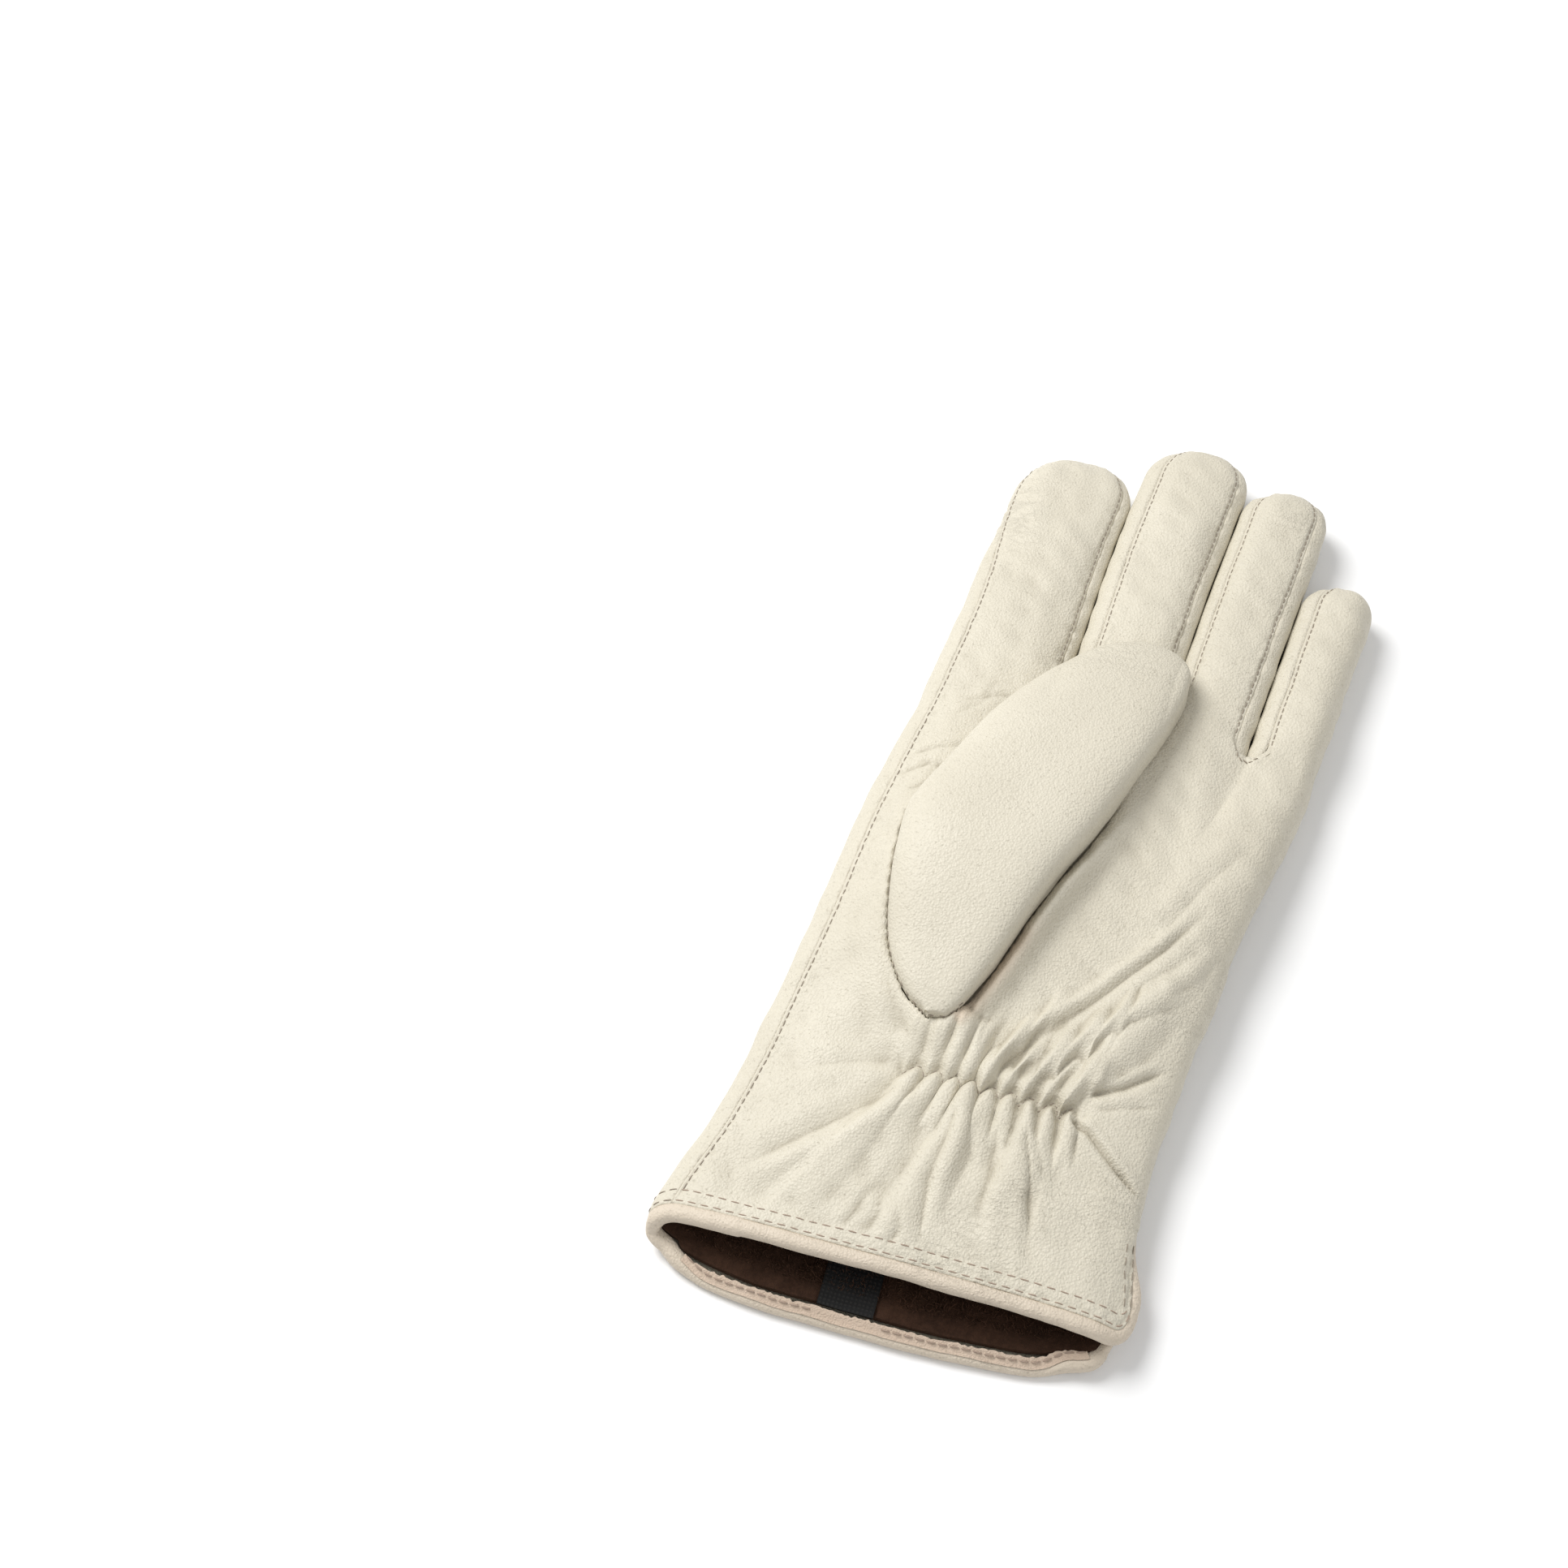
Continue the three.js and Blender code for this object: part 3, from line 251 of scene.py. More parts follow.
@dataclass(frozen=True)
class Steps:
    """Rows along a finger: a share of its straight part, and past it the sine of its round tip."""

    share: Array
    sine: Array


@dataclass(frozen=True)
class Layout:
    """Where the skin of the glove lies, in millimetres from the cuff's end beside the forefinger.

    Its methods return numbers, points or grids of points, and share these Args:
        f: A finger, from 0, the forefinger, to 3, the little finger.
        gap: The slot between finger gap and the next.
        y: Distance from the cuff. base: The y at which a finger starts. hem: The y of the edge at the cuff.
        share, shares: Shares from 0 to 1 across a finger or round an edge.
        rows: Rows of the hand, from the hem to the knuckles. steps: Rows of a finger, up to its tip.
    """

    palm_length: float = 157
    cuff_width: float = 100
    wrist_width: float = 90.5
    palm_lean: float = 21
    palm_height: float = 19.5
    finger_height: float = 17.4
    finger_lean: float = 0.1
    finger_gap: float = 0.9
    notch_length: float = 4
    leather: float = 1.3
    lining_thickness: float = 1.6
    clearance: float = 0.3
    lining_gap: float = 0.65
    index_seam_inset: float = 4.5
    little_seam_inset: float = 3
    back_seam_inset: float = 3.4
    flat_share: float = 1.5
    gather_along: float = 45
    fold_height: float = 2.9
    hem_overhang: float = 10
    binding_width: float = 3.5
    vent_binding_width: float = 2
    vent_length: float = 26
    flap_reach: float = 8.5
    flap_drop: float = 32
    back_flap_reach: float = 3
    corner_radius: float = 4.5
    braid_width: float = 3.6
    braid_thickness: float = 1
    braid_pitch: float = 5.3
    braid_start: float = 8
    channel_slope: float = 1.4
    tuck_half_width: float = 1.7
    tuck_groove: float = 0.8
    waist_share: float = 0.4
    under_fullness: float = 1.14
    hand_power: float = 3.4
    tip_flat: float = 0.24
    tip_round: float = 0.52
    blend_length: float = 34
    side_inset: float = 3.5
    columns: int = 8
    fingers: tuple[Finger, ...] = (
        Finger(31.5, 74, 1, 0.94, 2.7, 4.5, 2),
        Finger(24.2, 84, 1, 1.06, 2.5, 3.6, 2.2),
        Finger(20.4, 81, 0.96, 1.05, 2.4, 2.4, 2.8),
        Finger(16.6, 61, 0.88, 1.04, 2.3, 3.4, 3),
    )
    crotches: tuple[float, ...] = (1, 1.02, 0.936)
    back_bounds: tuple[float, ...] = (0.07, 0.33, 0.49, 0.72, 0.95)
    braid_across: tuple[float, ...] = (0.13, 0, 0, 0.83)
    hand: Table = table(
        "along lean cuff wrist knuckles height",
        (0, 0, 1, 0, 0, 0.74),
        (0.17, 0.15, 0.25, 0.75, 0, 0.8),
        (0.29, 0.25, 0, 1, 0, 0.82),
        (0.48, 0.43, 0, 0.95, 0.05, 0.94),
        (0.67, 0.61, 0, 0.5, 0.5, 1),
        (0.83, 0.81, 0, 0.2, 0.8, 0.99),
        (1, 1, 0, 0, 1, 0.94),
    )
    fan: Table = table(
        "column cuff gathers",
        (0, 0, 0),
        (8, 0.19, 0.36),
        (16, 0.56, 0.56),
        (24, 0.86, 0.77),
        (26, 0.91, 0.82),
        (32, 1, 1),
    )
    jut: Table = table("across jut", (0, 0.2), (0.1, 0.75), (0.3, 1), (0.55, 1), (0.8, 0.85), (1, 0.45))

    @property
    def knuckle_width(self) -> float:
        """The width of the four fingers side by side."""
        return sum(finger.width for finger in self.fingers) + 3 * self.finger_gap

    @property
    def palm_hem(self) -> float:
        """The palm panel's edge at the cuff."""
        return self.binding_width + self.clearance

    @property
    def skin_to_inside(self) -> float:
        """The depth from the skin to the inner face of the lining."""
        return self.leather + self.lining_gap + self.lining_thickness

    @property
    def palm_side(self) -> Spot:
        """The last line of the palm before it turns down beside the little finger."""
        return Spot(Face.PALM, self.side_inset)

    @property
    def back_index_side(self) -> Spot:
        """The first line of the back that lies flat beside the forefinger."""
        return Spot(Face.BACK, self.index_seam_inset * self.flat_share)

    @property
    def back_little_side(self) -> Spot:
        """The last line of the back that lies flat beside the little finger."""
        return Spot(Face.BACK, self.little_seam_inset * self.flat_share)

    def crotch_y(self, gap: int) -> float:
        """How far a crotch stands from the cuff."""
        return self.palm_length * self.crotches[gap]

    def index_edge(self, y: Number) -> Spot:
        """The forefinger's outer seam, which runs out to the edge near the tip."""
        out = smooth((y - self.palm_length * 1.08) / 45)
        return Spot(Face.PALM, self.index_seam_inset * (1 - 0.8 * out))

    def hand_ring(self, y: Number) -> Ring:
        """The section of the hand at y."""
        along = np.minimum(y, self.palm_length) / self.palm_length
        widths = {"cuff": self.cuff_width, "wrist": self.wrist_width, "knuckles": self.knuckle_width}
        width = sum(self.hand.at(name, along) * width for name, width in widths.items())
        top = self.palm_height * self.hand.at("height", along)
        waist = top * self.waist_share
        centre = self.cuff_width / 2 + self.palm_lean * self.hand.at("lean", along)
        ones = np.ones_like(top)
        return Ring(centre, width / 2, top, waist, waist * self.under_fullness, ones, self.hand_power)

    def finger_base(self, f: int, share: Number) -> Array:
        """Where finger f starts, at a share across it."""
        return mix(self.crotch_y(max(0, f - 1)), self.crotch_y(min(2, f)), smooth(share))

    def finger_tip(self, f: int) -> float:
        """How far the tip of finger f stands from the cuff."""
        return float(self.finger_base(f, 0.5)) + self.fingers[f].length

    def finger_width(self, f: int, y: Number) -> Array:
        """The width of finger f at y."""
        share = smooth((y - self.finger_base(f, 0.5)) / (self.fingers[f].length * 0.7))
        return self.fingers[f].width * mix(1, self.fingers[f].tip, share)

    def finger_rounding(self, f: int) -> float:
        """The length of finger f's round tip."""
        return float(self.finger_width(f, self.finger_tip(f))) * self.tip_round

    def finger_ring(self, f: int, y: Number) -> Ring:
        """The section of finger f at y."""
        y = np.asarray(y, float)
        finger = self.fingers[f]
        left = self.cuff_width / 2 + self.palm_lean - self.knuckle_width / 2
        left = left + self.finger_lean * (y - self.palm_length)
        for g in range(f):
            left = left + self.finger_width(g, y) + self.finger_gap
        width = self.finger_width(f, y)
        rounding = width * self.tip_round
        sine = np.clip((y - (self.finger_tip(f) - rounding)) / rounding, 0, 1)
        scale = np.sqrt(np.maximum(0, 1 - sine**2))
        along = (y - self.finger_base(f, 0.5)) / finger.length
        full = self.finger_height * finger.height * (1 - 0.1 * smooth(along))
        waist = full * self.waist_share
        top = waist + (full - waist) * scale**0.8
        under = waist * self.under_fullness * scale
        return Ring(left + width / 2, width / 2 * scale, top, waist, under, scale, finger.power)

    def finger_blend(self, y: Number, base: Number) -> Array:
        """How far the hand's section has turned into the finger's."""
        return smooth((y - (base - self.blend_length)) / self.blend_length)

    def edge_way(self, side: Side, y: Number, base: Number, start: Spot, end: Spot, share: Number) -> Array:
        """Finds points on the way round the outer edge of the glove.

        Args:
            side: The forefinger's edge or the little finger's.
            y: Distances from the cuff.
            base: Where the finger starts.
            start: Where on the edge the way starts.
            end: Where it ends.
            share: How far along the way.

        Returns:
            The points.
        """
        places = []
        for ring in (self.hand_ring(y), self.finger_ring(0 if side == Side.INDEX else 3, y)):
            first, last = start.face * ring.angle(start.inset), end.face * ring.angle(end.inset)
            places.append(ring.edge(side, mix(first, last, share)))
        blend = self.finger_blend(y, base)
        return stack(mix(places[0][0], places[1][0], blend), y, mix(places[0][1], places[1][1], blend))

    def edge_at(self, side: Side, y: Number, base: Number, spot: Spot) -> Array:
        """Points along one line of the glove's outer edge."""
        return self.edge_way(side, y, base, spot, spot, 0)

    def row_y(self, rows: Rows, hem: Number, base: Number) -> Array:
        """Where rows lie on lines that run along the hand from hem to base."""
        cuff = mix(hem, self.vent_length, rows.share)
        wrist = mix(self.vent_length, self.gather_along, rows.share)
        palm = mix(self.gather_along, base, rows.share)
        return np.where(rows.zone == Zone.VENT, cuff, np.where(rows.zone == Zone.WRIST, wrist, palm))

    def vent_open(self, rows: Rows) -> Array:
        """How open the vent is at the rows."""
        return np.where(rows.zone == Zone.VENT, smooth(1 - rows.share), 0)

    def vent_slit(self, rows: Rows, strip: float) -> Array:
        """The share of a strip so wide that the vent takes at the rows."""
        depth = np.clip((1 - rows.share) * self.vent_length / self.notch_length, 0, 1)
        room = self.vent_binding_width + 2 * self.clearance
        return np.where(rows.zone == Zone.VENT, room * np.sqrt(1 - (1 - depth) ** 2) / strip, 0)

    def corner_rise(self, distance: Number) -> Array:
        """How far a hem has risen round its corner at a distance from the vent."""
        into = np.clip(self.corner_radius - distance, 0, self.corner_radius)
        return self.corner_radius - np.sqrt(self.corner_radius**2 - into**2)

    def back_hem(self, across: Number) -> Array:
        """The back panel's edge at the cuff."""
        return self.palm_hem - self.hem_overhang * self.jut.at("jut", across)

    def little_seam(self, rows: Rows) -> Spot:
        """The seam beside the little finger: on the side at the vent and under the edge above it."""
        rise = np.where(rows.zone == Zone.VENT, 0, smooth((rows.zone - Zone.WRIST + rows.share) / 1.2))
        return Spot(Face.BACK, mix(0.05, self.little_seam_inset, rise))

    def seam_inset(self, f: int, face: Face, side: Side) -> float:
        """How far a finger's seam stands in from its widest line."""
        palm = self.fingers[f].left_inset if side == Side.INDEX else self.fingers[f].right_inset
        return palm if face == Face.PALM else self.back_seam_inset

    def seam_x(self, f: int, y: Number, face: Face, side: Side) -> Array:
        """Where a finger's seam lies across the glove."""
        ring = self.finger_ring(f, y)
        return ring.centre + side * (ring.half - self.seam_inset(f, face, side) * ring.scale)

    def crotch_x(self, gap: int) -> float:
        """Where a crotch lies across the glove."""
        ring = self.finger_ring(gap, self.crotch_y(gap))
        return float(ring.centre + ring.half + self.finger_gap / 2)

    def notch_open(self, distance: Number) -> Array:
        """How far the sides of a notch have opened past its crotch."""
        return np.sqrt(1 - (1 - np.clip(distance / self.notch_length, 0, 1)) ** 2)

    def finger_y(self, f: int, share: Number, steps: Steps) -> Array:
        """Distance of a finger's rows from the cuff."""
        straight = mix(self.finger_base(f, share), self.braid_end(f), steps.share)
        return np.where(steps.sine > 0, self.braid_end(f) + self.finger_rounding(f) * steps.sine, straight)

    def finger_top(self, f: int, y: Array, share: Array, evened: Number = 0.5) -> Array:
        """Works out the height of a finger's palm face.

        Args:
            f: The finger.
            y: Distances from the cuff.
            share: Shares across the finger.
            evened: How far its edges are evened out with its neighbours'.

        Returns:
            The heights.
        """

        def own(g: int, part: Number) -> Array:
            """The height of finger g by itself, at a share across it."""
            ring = self.finger_ring(g, y)
            inset = self.index_edge(y).inset if g == 0 else self.fingers[g].left_inset
            left = ring.centre - ring.half + inset * ring.scale
            inset = self.side_inset if g == 3 else self.fingers[g].right_inset
            right = ring.centre + ring.half - inset * ring.scale
            return ring.top_at(mix(left, right, part))

        height = own(f, share)
        if f > 0:
            height = height + evened * (own(f - 1, 1.0) - own(f, 0.0)) * (1 - share) ** 4
        if f < 3:
            height = height + evened * (own(f + 1, 0.0) - own(f, 1.0)) * share**4
        return height

    def knuckle_share(self, f: int, share: Array, base: Array) -> Array:
        """Turns shares across finger f into shares across the palm at the knuckles."""
        left_edge = self.edge_at(Side.INDEX, base, base, self.index_edge(base))[..., 0]
        right_edge = self.edge_at(Side.LITTLE, base, base, self.palm_side)[..., 0]
        left = left_edge if f == 0 else self.crotch_x(f - 1)
        right = right_edge if f == 3 else self.crotch_x(f)
        return (mix(left, right, share) - left_edge) / (right_edge - left_edge)

    def palm_strip(self, f: int, shares: Array, rows: Rows, gathers: Gathers) -> Array:
        """Palm skin below finger f.

        Args:
            f: The finger.
            shares: Shares across it.
            rows: Rows from the hem to the knuckles.
            gathers: The gathered wrist, whose folds lift the skin.

        Returns:
            A grid of points.
        """
        share = shares[None, :]
        base = self.finger_base(f, share)
        y = self.row_y(rows, self.palm_hem, base)
        left = self.edge_at(Side.INDEX, y, base, self.index_edge(y))
        right = self.edge_at(Side.LITTLE, y, base, self.palm_side)
        column = self.columns * (f + share)
        knuckle = self.knuckle_share(f, share, base)
        at_cuff = self.fan.at("cuff", column)
        at_gathers = self.fan.at("gathers", column)
        below = np.clip((y - self.palm_hem) / (self.gather_along - self.palm_hem), 0, 1)
        above = mix(at_gathers, knuckle, rows.share**0.7)
        across = np.where(rows.zone == Zone.PALM, above, mix(at_cuff, at_gathers, below))
        x = mix(left[..., 0], right[..., 0], across)
        z = mix(self.hand_ring(y).top_at(x), self.finger_top(f, y, share), self.finger_blend(y, base))
        if f == 0:
            z = z + (left[:, :1, 2] - z[:, :1]) * (1 - share) ** 4
        if f == 3:
            z = z + (right[:, -1:, 2] - z[:, -1:]) * share**4
        return stack(x, y, z + gathers.lift(self, column, y, base))

    def palm_wrap(self, shares: Array, rows: Rows) -> Array:
        """Carries the palm round the edge to the little finger's seam, or flared out at the vent."""
        share = shares[None, :]
        base = self.finger_base(3, 1.0)
        hem = self.palm_hem + self.corner_rise(self.flap_reach * (1 - share))
        y = self.row_y(rows, hem, base)
        reach = share * (1 - self.vent_slit(rows, self.flap_reach))
        wrapped = self.edge_way(Side.LITTLE, y, base, self.palm_side, self.little_seam(rows), reach)
        flared = self.edge_at(Side.LITTLE, y, base, self.palm_side)
        drop = math.radians(self.flap_drop)
        flared[..., 0] += self.flap_reach * reach * math.cos(drop)
        flared[..., 2] -= self.flap_reach * reach * math.sin(drop)
        return mix(wrapped, flared, self.vent_open(rows)[..., None])

    def palm_finger(self, f: int, shares: Array, steps: Steps) -> Array:
        """Lays the palm face of a finger above its base.

        Args:
            f: The finger.
            shares: Shares across it.
            steps: Rows along it.

        Returns:
            A grid of points.
        """
        share = shares[None, :]
        y = self.finger_y(f, share, steps)
        base = self.finger_base(f, share)

        def edge(side: Side) -> Array:
            """The x of one edge of the face: an outer seam, or the side of a slot."""
            if side == Side.INDEX and f == 0:
                return self.edge_at(side, y, base, self.index_edge(y))[..., 0]
            if side == Side.LITTLE and f == 3:
                return self.edge_at(side, y, base, self.palm_side)[..., 0]
            gap = f - 1 if side == Side.INDEX else f
            opened = self.notch_open(y - self.crotch_y(gap))
            return mix(self.crotch_x(gap), self.seam_x(f, y, Face.PALM, side), opened)

        z = self.finger_top(f, y, share, 0.5 * (1 - smooth((y - base) / 9)))
        left, right = edge(Side.INDEX), edge(Side.LITTLE)
        closed = mix(left if f == 0 else self.crotch_x(f - 1), right if f == 3 else self.crotch_x(f), share)
        near = (1 - smooth((y - base) / 7)) * 4 * share * (1 - share)
        return stack(mix(mix(left, right, share), closed, near), y, z)

    def little_finger_wrap(self, shares: Array, steps: Steps) -> Array:
        """The palm skin round the outer edge of the little finger."""
        y = self.finger_y(3, 1.0, steps)
        seam = Spot(Face.BACK, self.little_seam_inset)
        return self.edge_way(Side.LITTLE, y, self.finger_base(3, 1.0), self.palm_side, seam, shares[None, :])

    def tip_line(self, f: int, count: int) -> Array:
        """The short line across a fingertip where the palm and the back meet."""
        y = self.finger_tip(f)
        ring = self.finger_ring(f, y - 0.001)
        half = self.finger_width(f, y) / 2 * self.tip_flat
        return stack(ring.centre + mix(-half, half, np.linspace(0, 1, count)), y, ring.waist)

    def band_seam(self, gap: int, f: int, y: Number) -> Array:
        """The x of the line between two bands of the back, on finger f's side of the slot."""
        side = Side.LITTLE if gap == f else Side.INDEX
        opened = self.notch_open(y - self.crotch_y(gap))
        knuckle = mix(self.crotch_x(gap), self.seam_x(f, y, Face.BACK, side), opened)
        ring = self.hand_ring(y)
        cuff = ring.centre - ring.half + 2 * ring.half * self.back_bounds[gap + 1]
        return mix(cuff, knuckle, np.clip(y / self.crotch_y(gap), 0, 1))

    def back_band(self, f: int, y: Number, base: Number) -> tuple[Array, Array]:
        """The x of the two limits of finger f's band of the back."""
        left = self.edge_at(Side.INDEX, y, base, self.back_index_side)[..., 0]
        right = self.edge_at(Side.LITTLE, y, base, self.back_little_side)[..., 0]
        return left if f == 0 else self.band_seam(f - 1, f, y), right if f == 3 else self.band_seam(f, f, y)

    def braid_x(self, f: int, y: Number) -> Array:
        """The centre line of a braid."""
        base = float(self.finger_base(f, 0.5))
        ring = self.hand_ring(y)
        start = ring.centre - ring.half + 2 * ring.half * self.braid_across[f]
        along = np.clip((y - self.braid_start) / (base - self.braid_start), 0, 1)
        return mix(start, self.finger_ring(f, y).centre, along**1.3)

    def braid_end(self, f: int) -> float:
        """Where finger f's round tip starts, and the braid on its back ends."""
        return self.finger_tip(f) - self.finger_rounding(f)

    def back_lift(self, x: Array, y: Array) -> Array:
        """How far the back rises off the table over the braids' channels and beside the centre tuck."""
        lift = np.zeros(np.broadcast(x, y).shape)
        for f in (0, 3):
            off = np.abs(x - self.braid_x(f, y)) - self.braid_width / 2 - self.clearance
            ends = smooth((y - self.braid_start) / 1.5) * smooth((self.braid_end(f) + 1 - y) / 1.5)
            depth = self.braid_thickness + self.clearance
            lift = np.maximum(lift, depth * smooth(1 - off / self.channel_slope) * ends)
        off = np.abs(x - self.band_seam(1, 1, y)) - self.tuck_half_width
        ends = smooth((y - self.vent_length) / 3) * smooth((self.crotch_y(1) - self.notch_length - y) / 3)
        return np.maximum(lift, self.tuck_groove * bell(off, 0.7) * ends)

    def back_skin(self, f: int, share: Array, y: Array) -> Array:
        """Lays the flattened back of finger f and of the hand below it."""
        base = self.finger_base(f, share)
        x = mix(*self.back_band(f, y, base), share)
        hand = self.hand_ring(y).bottom_at(x)
        ring = self.finger_ring(f, y)
        inner = np.minimum(ring.half - self.back_seam_inset * ring.scale, np.abs(x - ring.centre))
        finger = ring.bottom_at(ring.centre + np.maximum(inner, 0))
        z = mix(hand, finger, self.finger_blend(y, base))
        return stack(x, y, np.maximum(z, self.back_lift(x, y)))

    def back_strip(self, f: int, shares: Array, rows: Rows) -> Array:
        """The back below finger f."""
        share = shares[None, :]
        hem = self.back_hem(mix(self.back_bounds[f], self.back_bounds[f + 1], share))
        return self.back_skin(f, share, self.row_y(rows, hem, self.finger_base(f, share)))

    def back_index_wrap(self, shares: Array, rows: Rows) -> Array:
        """The back's skin round the forefinger's edge, up to the palm's seam."""
        share = shares[None, :]
        base = self.finger_base(0, 0.0)
        y = self.row_y(rows, mix(self.palm_hem, self.back_hem(0.06), share), base)
        return self.edge_way(Side.INDEX, y, base, self.index_edge(y), self.back_index_side, share)

    def back_little_edge(self, shares: Array, rows: Rows) -> Array:
        """Carries the back up to the seam beside the little finger, or flat out beside the vent."""
        share = shares[None, :]
        base = self.finger_base(3, 1.0)
        hem = self.back_hem(1.0) + self.corner_rise(self.back_flap_reach * (1 - share) * 2)
        y = self.row_y(rows, hem, base)
        reach = share * (1 - self.vent_slit(rows, self.little_seam_inset * 2))
        wrapped = self.edge_way(Side.LITTLE, y, base, self.back_little_side, self.little_seam(rows), reach)
        flat = self.edge_at(Side.LITTLE, y, base, self.back_little_side)
        flat[..., 0] += self.back_flap_reach * reach
        return mix(wrapped, flat, self.vent_open(rows)[..., None])

    def back_finger(self, f: int, shares: Array, steps: Steps) -> Array:
        """The back of finger f above its base."""
        share = shares[None, :]
        return self.back_skin(f, share, self.finger_y(f, share, steps))

    def strip_leg(self, gap: int, side: Side, shares: Array, steps: Steps) -> Array:
        """Lays the leg of the strip in a slot that lies on one side of a finger."""
        f = gap if side == Side.LITTLE else gap + 1
        y = self.finger_y(f, 1.0 if side == Side.LITTLE else 0.0, steps)
        ring = self.finger_ring(f, y)
        start, end = [face * ring.angle(self.seam_inset(f, face, side)) for face in (Face.PALM, Face.BACK)]
        x, z = ring.edge(side, mix(start, end, shares[None, :]))
        return stack(mix(self.crotch_x(gap), x, self.notch_open(y - self.crotch_y(gap))), y, z)

    def palm_surface(self, x: Array, y: Array) -> Array:
        """The height of the palm without its folds at x and y."""
        hand = self.hand_ring(y)
        height = np.zeros(np.broadcast(x, y).shape)
        taken = np.zeros(height.shape, bool)
        for f in range(4):
            ring = self.finger_ring(f, y)
            here = ~taken & ((x < ring.centre + ring.half + self.finger_gap) | (f == 3))
            blend = self.finger_blend(y, float(self.finger_base(f, 0.5)))
            height = np.where(here, mix(hand.top_at(x), ring.top_at(x), blend), height)
            taken |= here
        return height


@dataclass(frozen=True)
class Gathers:
    """The folds that the stitched wrist draws up, below it to the cuff and above it to the fingers."""

    below: Table = table(
        "column height reach",
        (9, 0.85, 0.95),
        (11, 0.9, 0.6),
        (13, 0.8, 0.3),
        (15, 1, 0.95),
        (17, 0.8, 0.36),
        (19, 0.9, 0.3),
        (21, 1, 0.85),
        (23, 0.85, 0.34),
        (25, 0.8, 0.3),
    )
    above: Table = table(
        "column height reach",
        (8, 0.4, 0.1),
        (10, 0.7, 0.13),
        (12, 0.85, 0.16),
        (14, 0.8, 0.14),
        (16, 1, 0.2),
        (18, 0.8, 0.16),
        (20, 0.95, 0.55),
        (22, 0.7, 0.13),
        (24, 0.85, 0.36),
    )
    zigzag: float = 1.5
    depth: float = 1.3
    first: float = 8
    last: float = 26
    lean: float = 0.38
    upright: float = 7
    lean_from: float = 12

    def line(self, layout: Layout, column: Array) -> Array:
        """Follows the stitched zigzag.

        Args:
            layout: The glove's layout.
            column: Places across the palm, in columns.

        Returns:
            Its distance from the cuff at each.
        """
        swing = 2 * np.abs((column - self.first) % 2 - 1) ** 1.6 - 1
        inside = smooth(column - self.first + 1) * smooth(self.last + 1 - column)
        return layout.gather_along - self.zigzag * swing * inside

    def lift(self, layout: Layout, column: Array, y: Array, base: Array) -> Array:
        """How far the folds lift the palm.

        Args:
            layout: The glove's layout.
            column: Columns of the palm.
            y: Distances from the cuff.
            base: Where the fingers start.

        Returns:
            The lift in millimetres, below 0 in the stitched valley.
        """
        line = self.line(layout, column)
        away = np.abs(y - line)
        inside = smooth(column - self.first + 1) * smooth(self.last + 1 - column)
        valley = -self.depth * (0.6 * np.exp(-away / 0.9) + 0.4 * np.exp(-((away / 6) ** 2))) * inside
        lift = np.zeros(valley.shape)
        far = smooth(away / 12)
        puff = (1 - (1 - np.clip(away / 3.2, 0, 1)) ** 2) ** 0.9
        bent = np.maximum(away - 2.5, 0)
        for table, under in ((self.below, True), (self.above, False)):
            room = layout.gather_along if under else base - layout.gather_along
            here = (y < line) == under
            sharpness = mix(0.6, 1.3, far) if under else mix(0.7, 1.7, smooth(away / 8))
            for place, height, reach in table.rows:
                lean = 0 if under else self.lean * smooth((place - self.lean_from) / 10) * (30 - place) / 10
                wander = 0.25 * np.sin(y / 6 + place) * far + lean * bent**2 / (bent + self.upright)
                wide = (1 if under else 1.2) + (0.9 if under else 1.6) * smooth(away / 18) * (reach > 0.35)
                off = np.clip(np.abs(column - place - wander) / wide, 0, 1)
                spent = away / (reach * room)
                fade = np.clip(1 - spent, 0, 1) ** 0.8 if under else smooth(1.3 - spent)
                ridge = height * puff * fade * (1 - off**2.2) ** sharpness
                lift = np.maximum(lift, np.where(here, layout.fold_height * ridge, 0))
        return (valley + lift) * smooth((4 * layout.columns - column) / 4)


@dataclass(frozen=True)
class Ripples:
    """A soft random relief made of plane waves, between a shortest and a longest one."""

    seed: int
    short: float
    long: float
    count: int = 14

    def at(self, points: Array) -> Array:
        """Adds the waves up.

        Args:
            points: Points of the skin.

        Returns:
            The relief at each, about -1 to 1.
        """
        random = np.random.default_rng(self.seed)
        ways = unit(random.normal(size=(self.count, 3)) * np.array([1, 1, 0.6]))
        waves = TURN / random.uniform(self.short, self.long, self.count)
        phases = random.uniform(0, TURN, self.count)
        return np.sin(points @ (ways * waves[:, None]).T + phases).sum(-1) / math.sqrt(self.count)


